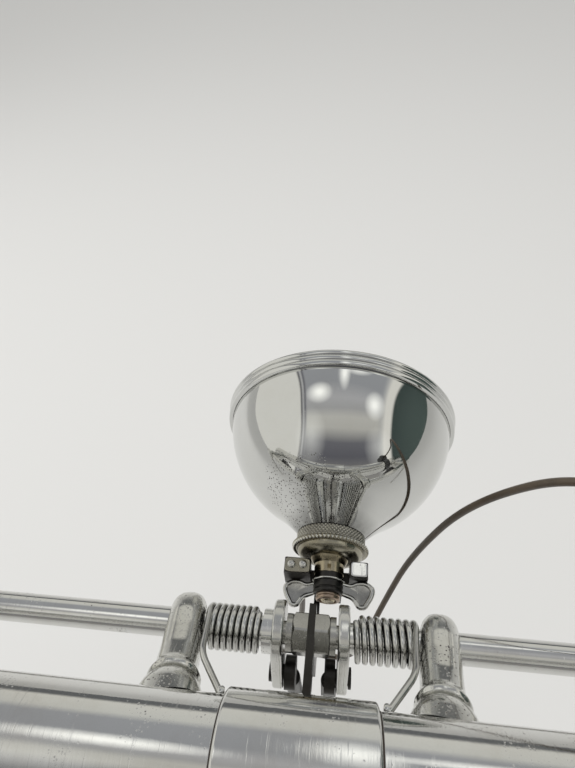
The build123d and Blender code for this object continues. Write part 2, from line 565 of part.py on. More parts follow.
def dished(edge_r, flat_r, back, thick, bulge):
    """A disc with a flat edge and a middle that bulges forward, or back if bulge is negative."""
    front = back + thick
    curve_r = (flat_r**2 + bulge**2) / (2 * abs(bulge))
    half_r = flat_r / 2
    half = sqrt(curve_r**2 - half_r**2) - curve_r + abs(bulge)
    half = half if bulge > 0 else -half
    edges = Line((0, 0, back + bulge), (0, 0, front + bulge))
    edges += ThreePointArc((0, 0, front + bulge), (half_r, 0, front + half), (flat_r, 0, front))
    edges += Line((flat_r, 0, front), (edge_r, 0, front)) + Line((edge_r, 0, front), (edge_r, 0, back))
    edges += Line((edge_r, 0, back), (flat_r, 0, back))
    edges += ThreePointArc((flat_r, 0, back), (half_r, 0, back + half), (0, 0, back + bulge))
    return revolve(make_face(edges), Axis.Z)


glass_r = inner_r - SEAT_CLEAR
bulb_r = BULB_DIA / 2
lamp_lens = lamp_at * dished(glass_r, lip_r - SIDE_CLEAR, glass_back, GLASS_THICK, GLASS_BULGE)
reflector = dished(glass_r, REFLECTOR_DIA / 2, reflector_back, REFLECTOR_WALL, -REFLECTOR_DEPTH)
neck = reflector_back - REFLECTOR_DEPTH
reflector -= Pos(0, 0, neck) * Cylinder(bulb_r + SEAT_CLEAR, 10)
lamp_reflector = lamp_at * reflector
lamp_bulb = lamp_at * turned([(0, neck - BULB_CAP), (bulb_r, neck - BULB_CAP), (bulb_r, neck + BULB_LENGTH - 4),
                              (bulb_r - 1.4, neck + BULB_LENGTH - 1.2), (0, neck + BULB_LENGTH)])

# Lamp switch: a box clamped on the bar, with a toggle that turns on its top.
band_r = bar_r + BAND_WALL
switch_foot, switch_top = bar_z + bar_r - 1, bar_z + bar_r + SWITCH_HEIGHT
switch_front = bar_y + SWITCH_DEPTH / 2
half_switch = SWITCH_LENGTH / 2
case = box(SWITCH_OUT - half_switch, SWITCH_OUT + half_switch, bar_y - SWITCH_DEPTH / 2, switch_front,
           switch_foot, switch_top)
lamp_switch = fillet(case.edges(), 1.8)
lamp_switch += x_cyl(band_r, SWITCH_OUT - BAND_LENGTH / 2, SWITCH_OUT + BAND_LENGTH / 2, bar_y, bar_z)
lamp_switch -= x_cyl(bar_r + SEAT_CLEAR, SWITCH_OUT - SWITCH_LENGTH, SWITCH_OUT + SWITCH_LENGTH, bar_y, bar_z)
shaft_depth = SWITCH_HEIGHT / 2
shaft_r = TOGGLE_SHAFT / 2
shaft_foot = switch_top - shaft_depth
lamp_switch -= z_cyl(shaft_r + RUN_CLEAR, shaft_foot - SIDE_CLEAR, switch_top + 1, SWITCH_OUT, bar_y)
toggle_foot = switch_top + SIDE_CLEAR
toggle_r = TOGGLE_DIA / 2
switch_toggle = z_cyl(toggle_r, toggle_foot, toggle_foot + TOGGLE_THICK, SWITCH_OUT, bar_y)
switch_toggle += box(SWITCH_OUT - 1.8, SWITCH_OUT + 1.8, bar_y - TOGGLE_REACH, bar_y, toggle_foot + 0.4,
                     toggle_foot + TOGGLE_THICK)
switch_toggle += z_cyl(shaft_r, shaft_foot, toggle_foot + 1, SWITCH_OUT, bar_y)

# Lamp cable, from the switch's front, past the lamp, to the gland under the bracket.
cable_out_z = (bar_z + bar_r + switch_top) / 2
route = [(SWITCH_OUT, bar_y + 36, cable_out_z)]
route += [(x, bar_y + y, bar_z + z) for x, y, z in (
    (70, 63, 19), (49, 74.5, -25), (35.5, 71, -68), (28, 61.5, -94), (22, 52, -114), (20, 49, -130),
    (12, 46, -138), (0, 46, -138), (-8, 49, -130), (-7.5, 53.5, -108))]
route = [(SWITCH_OUT, switch_front, cable_out_z)] + route
route += [(gland_x, gland_y, gland_z - 21), (gland_x, gland_y, gland_z)]
radii = []
for before, here, after in zip(route, route[1:], route[2:]):
    run_in, run_out = Vector(*here) - Vector(*before), Vector(*after) - Vector(*here)
    turn = run_in.get_angle(run_out)
    radii.append(0.45 * min(run_in.length, run_out.length) / tan(radians(turn / 2)))
print("cable radii:", [round(r, 1) for r in radii])
lamp_cable = tube(route, radii, CABLE_DIA / 2)

nodes = dict(
    stem=stem, expander_bolt=expander_bolt, expander_wedge=expander_wedge, handlebar=handlebar,
    grip_left=grip_left, grip_right=grip_right, post_left=post_left, post_right=post_right,
    outer_post_left=outer_post_left, outer_post_right=outer_post_right, spring_left=spring_left,
    spring_right=spring_right, pivot_stud=pivot_stud, lamp_bracket=lamp_bracket, ball_stem=ball_stem,
    wing_nut=wing_nut, lamp_switch=lamp_switch, switch_toggle=switch_toggle, lamp_cable=lamp_cable,
    lever_left=lever_left, lever_right=lever_right, arm_left=arm_left, arm_right=arm_right,
    pull_rod_left=pull_rod_left, pull_rod_right=pull_rod_right, lamp_flange=lamp_flange,
    knurled_ring=knurled_ring, lamp_bowl=lamp_bowl, lamp_rim=lamp_rim, lamp_lens=lamp_lens,
    lamp_reflector=lamp_reflector, lamp_bulb=lamp_bulb)
os.makedirs("parts", exist_ok=True)
for name, shape in nodes.items():
    export_step(shape, f"parts/{name}.step")
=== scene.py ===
import math

import bmesh
import bpy
import numpy as np
from mathutils import Matrix, Vector


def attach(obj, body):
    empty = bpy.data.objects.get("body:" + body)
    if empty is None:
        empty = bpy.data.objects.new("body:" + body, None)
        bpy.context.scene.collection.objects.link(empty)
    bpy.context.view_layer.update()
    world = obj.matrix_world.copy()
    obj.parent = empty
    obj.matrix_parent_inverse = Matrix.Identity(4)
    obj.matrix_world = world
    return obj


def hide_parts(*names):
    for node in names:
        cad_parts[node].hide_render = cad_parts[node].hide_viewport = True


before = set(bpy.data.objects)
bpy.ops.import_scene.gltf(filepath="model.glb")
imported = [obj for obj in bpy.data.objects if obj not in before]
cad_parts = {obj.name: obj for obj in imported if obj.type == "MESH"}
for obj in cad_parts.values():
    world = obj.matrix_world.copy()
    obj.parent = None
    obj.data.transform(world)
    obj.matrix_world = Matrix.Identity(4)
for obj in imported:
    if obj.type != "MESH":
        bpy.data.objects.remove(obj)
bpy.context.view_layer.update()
print("frame loaded:", len(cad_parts), "nodes")

mm = 0.001
tau = 2 * math.pi
quarterTurn = math.pi / 2
mergeWithin = 1e-7  # points closer than this many metres become one
sharpAngle = 40  # degrees past which an edge is shaded as a corner

# The bar's centre, from which the camera is measured, and the lines that the pieces sit on, in mm.
barCentre = Vector((0, 48, 72))
rodLine = {"y": 77.98, "z": 47.35}
rodForward, rodBelow = rodLine["y"] - barCentre.y, rodLine["z"] - barCentre.z
postLean = 5.0  # how far each post leans outwards between the bar and the rod
lampLine = {"x": 4.2, "z": 26.3, "ball": 110.3, "turn": 1.5}  # ball is its y, and turn is in degrees

# Camera: just above the middle of the bar, looking forward and down.
camera = {
    "place": (5.04, -3.19, 128.27),  # from the bar's centre
    "down": 51.12,
    "turn": -9.45,
    "roll": 4.83,
    "focal": 505.0,  # in pixels of a frame 768 high
    "frameHeight": 768.0,
    "sensor": 36.0,
    "sees": (0.005, 50),  # from and to, in metres
}


def makeCamera(c):
    pitch, yaw, roll = (math.radians(c[k]) for k in ("down", "turn", "roll"))
    ahead = Vector((math.sin(yaw) * math.cos(pitch), math.cos(yaw) * math.cos(pitch), -math.sin(pitch)))
    right = Vector((math.cos(yaw), -math.sin(yaw), 0))
    down = ahead.cross(right)
    across = math.cos(roll) * right + math.sin(roll) * down
    below = -math.sin(roll) * right + math.cos(roll) * down
    data = bpy.data.cameras.new("photoCamera")
    data.sensor_width = c["sensor"]
    data.lens = c["focal"] / c["frameHeight"] * data.sensor_width
    data.clip_start, data.clip_end = c["sees"]
    obj = bpy.data.objects.new("photoCamera", data)
    bpy.context.scene.collection.objects.link(obj)
    turn = Matrix((across, -below, -ahead)).transposed().to_4x4()
    obj.matrix_world = Matrix.Translation((barCentre + Vector(c["place"])) * mm) @ turn
    bpy.context.scene.camera = obj


makeCamera(camera)
print("camera made")

# Lamp cable: from the switch, past the lamp, and up into the gland under the bracket.
cable = {
    "diameter": 2.4,
    "route": [
        (100, 56, 88.1), (100, 84, 88.1), (70, 111, 91), (49, 122.5, 47), (35.5, 119, 4), (28, 109.5, -22),
        (22, 100, -42), (20, 97, -58), (12, 94, -66), (0, 94, -66), (-8, 97, -58), (-7.5, 101.3, -36),
        (-5.7, 102.2, -13.3), (-5.7, 102.2, 7.7),
    ],
    "length": 0.3226,
    "roundness": 5,
    "stepsPerPoint": 24,
}


def makeCable(c):
    data = bpy.data.curves.new("lampCable", "CURVE")
    data.dimensions = "3D"
    # The bevel is one metre and each point's radius is the cable's, so that the curve's bounds fit it.
    data.bevel_depth = 1.0
    data.bevel_resolution = c["roundness"]
    data.resolution_u = c["stepsPerPoint"]
    data.use_fill_caps = True
    spline = data.splines.new("NURBS")
    spline.points.add(len(c["route"]) - 1)
    for point, place in zip(spline.points, c["route"]):
        point.co = (*(Vector(place) * mm), 1)
        point.radius = c["diameter"] / 2 * mm
    spline.order_u = 3
    spline.use_endpoint_u = True
    obj = bpy.data.objects.new("lampCable", data)
    bpy.context.scene.collection.objects.link(obj)
    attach(obj, "frame")
    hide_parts("lamp_cable")
    return obj


lampCable = makeCable(cable)
print("cable made")


# Helpers for shader nodes. What a node is fed is another node's socket or a plain value.
def feed(tree, socket, value):
    if isinstance(value, bpy.types.NodeSocket):
        tree.links.new(value, socket)
    else:
        socket.default_value = value


def addOperation(tree, kind, operation, values):
    node = tree.nodes.new(kind)
    node.operation = operation
    for socket, value in zip(node.inputs, values):
        feed(tree, socket, value)
    return node


def addMath(tree, operation, *values, clamp=False):
    node = addOperation(tree, "ShaderNodeMath", operation, values)
    node.use_clamp = clamp
    return node.outputs[0]


def addVectorMath(tree, operation, *values):
    node = addOperation(tree, "ShaderNodeVectorMath", operation, values)
    return node.outputs["Value" if operation in ("LENGTH", "DISTANCE") else "Vector"]


def addShares(tree, operation, start, *shares):
    # A share of each socket is added to the start, or taken from it.
    for socket, share in shares:
        start = addMath(tree, operation, start, addMath(tree, "MULTIPLY", socket, share))
    return start


def addRange(tree, value, low, high, toLow=0.0, toHigh=1.0):
    node = tree.nodes.new("ShaderNodeMapRange")
    feed(tree, node.inputs["Value"], value)
    for label, v in (("From Min", low), ("From Max", high), ("To Min", toLow), ("To Max", toHigh)):
        feed(tree, node.inputs[label], v)
    return node.outputs["Result"]


def addNoise(tree, vector, scale, detail=4.0, rough=0.55):
    node = tree.nodes.new("ShaderNodeTexNoise")
    for label, value in (("Vector", vector), ("Scale", scale), ("Detail", detail), ("Roughness", rough)):
        feed(tree, node.inputs[label], value)
    return node.outputs["Fac"]


def addMapping(tree, vector, turn=(0, 0, 0), scale=(1, 1, 1)):
    node = tree.nodes.new("ShaderNodeMapping")
    tree.links.new(vector, node.inputs["Vector"])
    node.inputs["Rotation"].default_value = [math.radians(a) for a in turn]
    node.inputs["Scale"].default_value = scale
    return node.outputs["Vector"]


# Node groups that several materials share. In their looks, a pair is the value at which something begins to
# show and the one at which it shows in full. A pair whose name ends in Shows is the share of the effect that
# a noise's lowest and highest values leave.
noiseSpan = (0.3, 0.7)  # nearly all of a noise's values lie in it


def newGroup(name, outputs, **inputs):
    # Every group reads a Vector, and the kind of each other input follows from its first value.
    group = bpy.data.node_groups.new(name, "ShaderNodeTree")
    group.interface.new_socket(name="Vector", in_out="INPUT", socket_type="NodeSocketVector")
    for label, value in inputs.items():
        kind = "NodeSocketFloat" if isinstance(value, float) else "NodeSocketVector"
        socket = group.interface.new_socket(name=label, in_out="INPUT", socket_type=kind)
        socket.default_value = value
    for label in outputs:
        group.interface.new_socket(name=label, in_out="OUTPUT", socket_type="NodeSocketFloat")
    return group, group.nodes.new("NodeGroupInput").outputs, group.nodes.new("NodeGroupOutput").inputs


scratchLook = {"turns": ((20, 35, 10), (-40, 15, 65)), "thin": 0.045, "crest": (0.64, 0.70)}


def makeScratchGroup(look):
    # Two sets of long thin noise streaks, crossed, cut to their crests.
    group, given, made = newGroup("fineScratches", ["Mask"], Scale=900.0, Amount=0.5)
    crests = []
    for turn in look["turns"]:
        streak = addMapping(group, given["Vector"], turn=turn, scale=(1, look["thin"], look["thin"]))
        noise = addNoise(group, streak, given["Scale"], detail=2.0)
        crests.append(addRange(group, noise, *look["crest"]))
    both = addMath(group, "MAXIMUM", *crests)
    group.links.new(addMath(group, "MULTIPLY", both, given["Amount"]), made["Mask"])
    return group


pitLook = {"dot": (0.38, 0.24), "kept": (0.35, 0.5), "patchScale": 90.0, "patch": (0.66, 0.78)}


def makePitGroup(look):
    # Small round cells, a part of them kept, and only where a broad noise is high near a chosen place.
    group, given, made = newGroup("rustPits", ["Mask"], Scale=1500.0, Cover=0.1, Centre=(0, 0, 0), Reach=10.0)
    cells = group.nodes.new("ShaderNodeTexVoronoi")
    group.links.new(given["Vector"], cells.inputs["Vector"])
    group.links.new(given["Scale"], cells.inputs["Scale"])
    dot = addRange(group, cells.outputs["Distance"], *look["dot"])
    shade = group.nodes.new("ShaderNodeSeparateColor")
    group.links.new(cells.outputs["Color"], shade.inputs["Color"])
    kept = addRange(group, shade.outputs["Red"], *look["kept"])
    patch = addNoise(group, given["Vector"], look["patchScale"], detail=6.0, rough=0.7)
    away = addVectorMath(group, "DISTANCE", given["Vector"], given["Centre"])
    near = addMath(group, "SUBTRACT", 1.0, addMath(group, "DIVIDE", away, given["Reach"]), clamp=True)
    wish = addMath(group, "MULTIPLY", near, given["Cover"])
    place = addRange(group, addMath(group, "ADD", patch, wish), *look["patch"])
    mask = addMath(group, "MULTIPLY", addMath(group, "MULTIPLY", dot, kept), place, clamp=True)
    group.links.new(mask, made["Mask"])
    return group


tarnishLook = {"broad": (0.42, 0.68), "finer": 9.0, "fineShows": (0.5, 1.0)}


def makeTarnishGroup(look):
    # Broad cloudy patches with a finer mottle over them.
    group, given, made = newGroup("tarnish", ["Mask", "Mottle"], Scale=60.0, Amount=0.5)
    broad = addNoise(group, given["Vector"], given["Scale"], 5.0, 0.6)
    fine = addNoise(group, given["Vector"], addMath(group, "MULTIPLY", given["Scale"], look["finer"]), 3.0)
    mixed = addMath(group, "MULTIPLY", addRange(group, broad, *look["broad"]),
                    addRange(group, fine, *noiseSpan, *look["fineShows"]))
    group.links.new(addMath(group, "MULTIPLY", mixed, given["Amount"], clamp=True), made["Mask"])
    group.links.new(fine, made["Mottle"])
    return group


dustLook = {"speck": (0.5, 0.75), "cloudScale": 60.0, "cloud": (0.42, 0.7)}


def makeDustGroup(look):
    # Fine specks that gather in loose clouds.
    group, given, made = newGroup("dust", ["Mask"], Scale=2600.0, Amount=0.3)
    specks = addRange(group, addNoise(group, given["Vector"], given["Scale"], 2.0), *look["speck"])
    clouds = addRange(group, addNoise(group, given["Vector"], look["cloudScale"]), *look["cloud"])
    both = addMath(group, "MULTIPLY", specks, clouds)
    group.links.new(addMath(group, "MULTIPLY", both, given["Amount"], clamp=True), made["Mask"])
    return group


rubLook = {"thin": 0.12, "patchScale": 38.0, "patch": (0.42, 0.62)}


def makeRubGroup(look):
    # Short fine rubbing marks: noise drawn out across the tube, broken up by a broad noise.
    group, given, made = newGroup("rubbingMarks", ["Height"], Scale=1500.0, Amount=0.5)
    drawn = addMapping(group, given["Vector"], scale=(1, look["thin"], look["thin"]))
    marks = addNoise(group, drawn, given["Scale"], 3.0)
    worn = addRange(group, addNoise(group, given["Vector"], look["patchScale"]), *look["patch"])
    both = addMath(group, "MULTIPLY", addMath(group, "MULTIPLY", marks, worn), given["Amount"])
    group.links.new(both, made["Height"])
    return group


seamShadeLook = {"edge": (1.0, 0.6)}


def makeSeamShadeGroup(look):
    # Two dark lines across the bar at the sleeve's ends: painted shade in the corners there.
    group, given, made = newGroup("paintedSeamShade", ["Mask"], Place=0.0163, Width=0.00032)
    parts = group.nodes.new("ShaderNodeSeparateXYZ")
    group.links.new(given["Vector"], parts.inputs[0])
    away = addMath(group, "SUBTRACT", addMath(group, "ABSOLUTE", parts.outputs["X"]), given["Place"])
    closeness = addMath(group, "DIVIDE", addMath(group, "ABSOLUTE", away), given["Width"])
    group.links.new(addRange(group, closeness, *look["edge"]), made["Mask"])
    return group


paintedShadeLook = {"cloudScale": 700.0, "cloudShows": (0.7, 1.0)}


def makePaintedShadeGroup(look):
    # Painted shade that thickens towards a point, or towards a line along the axis whose share is nought.
    group, given, made = newGroup("paintedShadeNear", ["Mask"], Centre=(0, 0, 0), Share=(1, 1, 1), Inner=0.01,
                                  Outer=0.02)
    offset = addVectorMath(group, "SUBTRACT", given["Vector"], given["Centre"])
    away = addVectorMath(group, "LENGTH", addVectorMath(group, "MULTIPLY", offset, given["Share"]))
    near = addRange(group, away, given["Outer"], given["Inner"])
    cloud = addNoise(group, given["Vector"], look["cloudScale"])
    patchy = addRange(group, cloud, *noiseSpan, *look["cloudShows"])
    group.links.new(addMath(group, "MULTIPLY", near, patchy), made["Mask"])
    return group


scratchGroup, pitGroup = makeScratchGroup(scratchLook), makePitGroup(pitLook)
tarnishGroup, dustGroup = makeTarnishGroup(tarnishLook), makeDustGroup(dustLook)
rubGroup, seamShadeGroup, paintedShadeGroup = makeRubGroup(rubLook), makeSeamShadeGroup(seamShadeLook), makePaintedShadeGroup(paintedShadeLook)

# Metals. Columns: colour, colour where tarnished, haze, then how scratched, pitted, tarnished, dusty, rubbed
# and uneven each is.
metals = {
    "barChrome": ((0.70, 0.70, 0.68), (0.48, 0.44, 0.38), 0.055, 0.6, 0.10, 0.25, 0.06, 1.0, 0.09),
    "sleeveChrome": ((0.70, 0.70, 0.68), (0.48, 0.44, 0.38), 0.05, 0.7, 0.12, 0.25, 0.06, 0.9, 0.09),
    "bowlChrome": ((0.66, 0.665, 0.65), (0.52, 0.50, 0.44), 0.035, 0.5, 1.6, 0.15, 0.06, 0.0, 0.014),
    "castChrome": ((0.66, 0.66, 0.63), (0.40, 0.38, 0.32), 0.12, 0.5, 0.24, 0.35, 0.08, 0.35, 0.2),
    "plateChrome": ((0.60, 0.60, 0.575), (0.36, 0.33, 0.28), 0.12, 0.6, 0.10, 0.3, 0.1, 0.2, 0.10),
    "springSteel": ((0.62, 0.62, 0.60), (0.26, 0.23, 0.19), 0.13, 0.3, 0.05, 0.4, 0.06, 0.0, 0.05),
    "wornSteel": ((0.42, 0.415, 0.39), (0.12, 0.105, 0.085), 0.18, 0.6, 0.08, 0.5, 0.15, 0.0, 0.12),
    "wingSteel": ((0.60, 0.60, 0.575), (0.28, 0.26, 0.22), 0.14, 0.5, 0.08, 0.6, 0.10, 0.0, 0.08),
    "knurlNickel": ((0.60, 0.59, 0.53), (0.30, 0.27, 0.20), 0.20, 0.3, 0.04, 0.4, 0.10, 0.0, 0.05),
    "ropeNickel": ((0.74, 0.73, 0.67), (0.36, 0.33, 0.27), 0.16, 0.3, 0.04, 0.3, 0.08, 0.0, 0.04),
    "domeNickel": ((0.38, 0.36, 0.29), (0.20, 0.17, 0.11), 0.20, 0.4, 0.10, 0.7, 0.08, 0.0, 0.16),
    "darkSteel": ((0.050, 0.048, 0.045), (0.030, 0.026, 0.022), 0.34, 0.5, 0.05, 0.6, 0.07, 0.0, 0.2),
    "tarnishedBrass": ((0.46, 0.40, 0.28), (0.19, 0.155, 0.10), 0.24, 0.5, 0.08, 0.7, 0.12, 0.0, 0.12),
    "copper": ((0.36, 0.28, 0.215), (0.20, 0.14, 0.10), 0.28, 0.4, 0.08, 0.6, 0.12, 0.0, 0.12),
    "silvered": ((0.82, 0.82, 0.81), (0.6, 0.56, 0.46), 0.05, 0.1, 0.0, 0.2, 0.08, 0.0, 0.02),
}
# What is more on a few of them, in metres: where rust pits gather, where the painted shade lines at the
# sleeve's ends are,
# and where painted shade gathers: centre, share of each axis, inner and outer distance, colour.
pitPatches = {"bowlChrome": {"Scale": 1350.0, "Centre": (-0.0040, 0.1215, 0.0420), "Reach": 0.020}}
seamShades = {"sleeveChrome": 0.0163}
paintedShadeZones = {
    # Painted shade: a painted dark reflection round the bowl's neck, the coils' side towards the rod, the
    # knurl's valleys, and the rope edge short of its outer crests.
    "bowlChrome": ((0.0042, 0.116, 0.0263), (1, 1, 1), 0.0118, 0.0175, (0.26, 0.26, 0.25)),
    "springSteel": ((0.0, 0.07798, 0.04735), (0, 1, 1), 0.0053, 0.0061, (0.05, 0.046, 0.04)),
    "knurlNickel": ((0.00425, 0.110, 0.0263), (1, 0, 1), 0.01155, 0.01198, (0.10, 0.09, 0.07)),
    "ropeNickel": ((0.00425, 0.110, 0.0263), (1, 0, 1), 0.01265, 0.01305, (0.08, 0.07, 0.055)),
}
# How the wear acts on every metal.
metalWear = {
    "scratchScale": 1300.0,
    "pitScale": 1500.0,
    "cloudScale": 70.0,
    "dustDulls": 0.8,
    "cloudHaze": 0.12,
    "scratchHaze": 0.12,
    "rubHaze": 0.16,
    "dullHaze": 0.5,
    "mottleRise": 0.4,
    "scratchDepth": 0.5,
    "rubDepth": 1.5,
    "bumpDistance": 0.0002,
}
rustColour = (0.030, 0.022, 0.016)
dustColour = (0.42, 0.40, 0.36)


def useGroup(tree, group, vector, **values):
    node = tree.nodes.new("ShaderNodeGroup")
    node.node_tree = group
    tree.links.new(vector, node.inputs["Vector"])
    for label, value in values.items():
        node.inputs[label].default_value = value
    return node.outputs


def mixColours(tree, mask, first, second):
    node = tree.nodes.new("ShaderNodeMix")
    node.data_type = "RGBA"
    tree.links.new(mask, node.inputs[0])
    for socket, value in ((node.inputs[6], first), (node.inputs[7], second)):
        feed(tree, socket, value if isinstance(value, bpy.types.NodeSocket) else (*value, 1))
    return node.outputs[2]


def newMaterial(name):
    material = bpy.data.materials.new(name)
    material.use_nodes = True
    tree = material.node_tree
    coords = tree.nodes.new("ShaderNodeTexCoord").outputs["Object"]
    return material, tree, tree.nodes["Principled BSDF"], coords


def addBump(tree, shader, height, strength, distance):
    bump = tree.nodes.new("ShaderNodeBump")
    bump.inputs["Strength"].default_value = strength
    bump.inputs["Distance"].default_value = distance
    tree.links.new(height, bump.inputs["Height"])
    tree.links.new(bump.outputs["Normal"], shader.inputs["Normal"])


def makeMetal(name, bare, tint, rough, scratched, pitted, tarnished, dusty, rubbed, uneven, w=metalWear):
    material, tree, shader, coords = newMaterial(name)
    scratches = useGroup(tree, scratchGroup, coords, Scale=w["scratchScale"], Amount=scratched)["Mask"]
    pitValues = {"Scale": w["pitScale"], "Cover": pitted, **pitPatches.get(name, {})}
    pits = useGroup(tree, pitGroup, coords, **pitValues)["Mask"]
    clouds = useGroup(tree, tarnishGroup, coords, Scale=w["cloudScale"], Amount=tarnished)
    dust = useGroup(tree, dustGroup, coords, Amount=dusty)["Mask"]
    marks = useGroup(tree, rubGroup, coords, Amount=rubbed)["Height"]
    colour = mixColours(tree, clouds["Mask"], bare, tint)
    colour = mixColours(tree, dust, colour, dustColour)
    # Painted shade, darker near a point or a line, for the finishes listed above.
    if name in paintedShadeZones:
        centre, share, inner, outer, shade = paintedShadeZones[name]
        paintedShadeMask = useGroup(tree, paintedShadeGroup, coords, Centre=centre, Share=share, Inner=inner, Outer=outer)
        colour = mixColours(tree, paintedShadeMask["Mask"], colour, shade)
    # Painted shade lines at the sleeve's ends, merged into the pit mask.
    if name in seamShades:
        seamShadeMask = useGroup(tree, seamShadeGroup, coords, Place=seamShades[name])["Mask"]
        pits = addMath(tree, "MAXIMUM", pits, seamShadeMask)
    feed(tree, shader.inputs["Base Color"], mixColours(tree, pits, colour, rustColour))
    dull = addMath(tree, "ADD", pits, addMath(tree, "MULTIPLY", dust, w["dustDulls"]), clamp=True)
    feed(tree, shader.inputs["Metallic"], addMath(tree, "SUBTRACT", 1.0, dull, clamp=True))
    haze = addShares(tree, "ADD", addMath(tree, "MULTIPLY", clouds["Mask"], w["cloudHaze"]),
                     (scratches, w["scratchHaze"]), (marks, w["rubHaze"]), (dull, w["dullHaze"]))
    feed(tree, shader.inputs["Roughness"], addMath(tree, "ADD", haze, rough, clamp=True))
    height = addMath(tree, "SUBTRACT", addMath(tree, "MULTIPLY", clouds["Mottle"], w["mottleRise"]), pits)
    height = addShares(tree, "SUBTRACT", height, (scratches, w["scratchDepth"]), (marks, w["rubDepth"]))
    addBump(tree, shader, height, uneven, w["bumpDistance"])
    return material


# Matt skins: colour, haze, and how fine the grain is.
mattSkins = {
    "gripRubber": ((0.020, 0.020, 0.021), 0.62, 1800.0),
    "switchEnamel": ((0.018, 0.018, 0.020), 0.32, 700.0),
}
skinWear = {"rubScale": 40.0, "rubbed": 0.5, "dusty": 0.4, "fade": 0.6, "lift": 0.06, "hazeSpread": 0.1,
            "bump": 0.35, "bumpDistance": 0.0003}


def makeMattSkin(name, colour, rough, grain, w=skinWear):
    # A fine grain, and a paler colour where the skin is rubbed.
    material, tree, shader, coords = newMaterial(name)
    fine = addNoise(tree, coords, grain, 4.0, 0.6)
    rubbed = useGroup(tree, tarnishGroup, coords, Scale=w["rubScale"], Amount=w["rubbed"])["Mask"]
    dust = useGroup(tree, dustGroup, coords, Amount=w["dusty"])["Mask"]
    worn = mixColours(tree, rubbed, colour, tuple(w["fade"] * c + w["lift"] for c in colour))
    feed(tree, shader.inputs["Base Color"], mixColours(tree, dust, worn, dustColour))
    haze = addRange(tree, fine, *noiseSpan, rough - w["hazeSpread"], rough + w["hazeSpread"])
    feed(tree, shader.inputs["Roughness"], haze)
    addBump(tree, shader, fine, w["bump"], w["bumpDistance"])
    return material


# The cable's sheath: old brown varnish, darker in blotches, with a fine grain.
sheath = {"colour": (0.070, 0.052, 0.034), "blotch": (0.030, 0.022, 0.015), "blotchScale": 120.0,
          "blotched": 0.8, "dusty": 0.15, "grain": 2600.0, "haze": (0.28, 0.46), "bump": 0.3,
          "bumpDistance": 0.0002}


def makeSheath(name, s):
    material, tree, shader, coords = newMaterial(name)
    blotch = useGroup(tree, tarnishGroup, coords, Scale=s["blotchScale"], Amount=s["blotched"])["Mask"]
    dust = useGroup(tree, dustGroup, coords, Amount=s["dusty"])["Mask"]
    varnish = mixColours(tree, blotch, s["colour"], s["blotch"])
    feed(tree, shader.inputs["Base Color"], mixColours(tree, dust, varnish, dustColour))
    fine = addNoise(tree, coords, s["grain"], 2.0)
    feed(tree, shader.inputs["Roughness"], addRange(tree, fine, *noiseSpan, *s["haze"]))
    addBump(tree, shader, fine, s["bump"], s["bumpDistance"])
    return material


# Clear glass: colour and haze.
clearGlass = {"lensGlass": ((0.94, 0.96, 0.95), 0.03), "bulbGlass": ((0.97, 0.97, 0.95), 0.01)}
glassWear = {"dusty": 0.5, "dust": (0.75, 0.74, 0.70), "dustHaze": 0.5, "bending": 1.5}


def makeGlass(name, colour, rough, w=glassWear):
    material, tree, shader, coords = newMaterial(name)
    dust = useGroup(tree, dustGroup, coords, Amount=w["dusty"])["Mask"]
    feed(tree, shader.inputs["Base Color"], mixColours(tree, dust, colour, w["dust"]))
    feed(tree, shader.inputs["Roughness"], addRange(tree, dust, 0.0, 1.0, rough, w["dustHaze"]))
    shader.inputs["Transmission Weight"].default_value = 1.0
    shader.inputs["IOR"].default_value = w["bending"]
    return material


materials = {"cableSheath": makeSheath("cableSheath", sheath)}
for make, finishes in ((makeMetal, metals), (makeMattSkin, mattSkins), (makeGlass, clearGlass)):
    for name, values in finishes.items():
        materials[name] = make(name, *values)
lampCable.data.materials.append(materials["cableSheath"])

nodeFinish = {
    "sleeveChrome": ["handlebar", "stem"],
    "barChrome": ["lever_left", "lever_right"],
    "plateChrome": ["arm_left", "arm_right"],
    "bowlChrome": ["lamp_bowl", "lamp_rim"],
    "castChrome": ["post_left", "post_right", "outer_post_left", "outer_post_right"],
    "springSteel": ["spring_left", "spring_right"],
    "wornSteel": ["expander_bolt", "expander_wedge", "pivot_stud", "wing_nut"],
    "knurlNickel": ["knurled_ring"],
    "domeNickel": ["lamp_flange"],
    "darkSteel": ["lamp_bracket", "switch_toggle", "pull_rod_left", "pull_rod_right"],
    "tarnishedBrass": ["ball_stem"],
    "silvered": ["lamp_reflector"],
    "gripRubber": ["grip_left", "grip_right"],
    "switchEnamel": ["lamp_switch"],
    "lensGlass": ["lamp_lens"],
    "bulbGlass": ["lamp_bulb"],
    "cableSheath": ["lamp_cable"],
}
for finish, nodes in nodeFinish.items():
    for node in nodes:
        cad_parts[node].material_slots[0].material = materials[finish]
print("materials made:", len(materials))


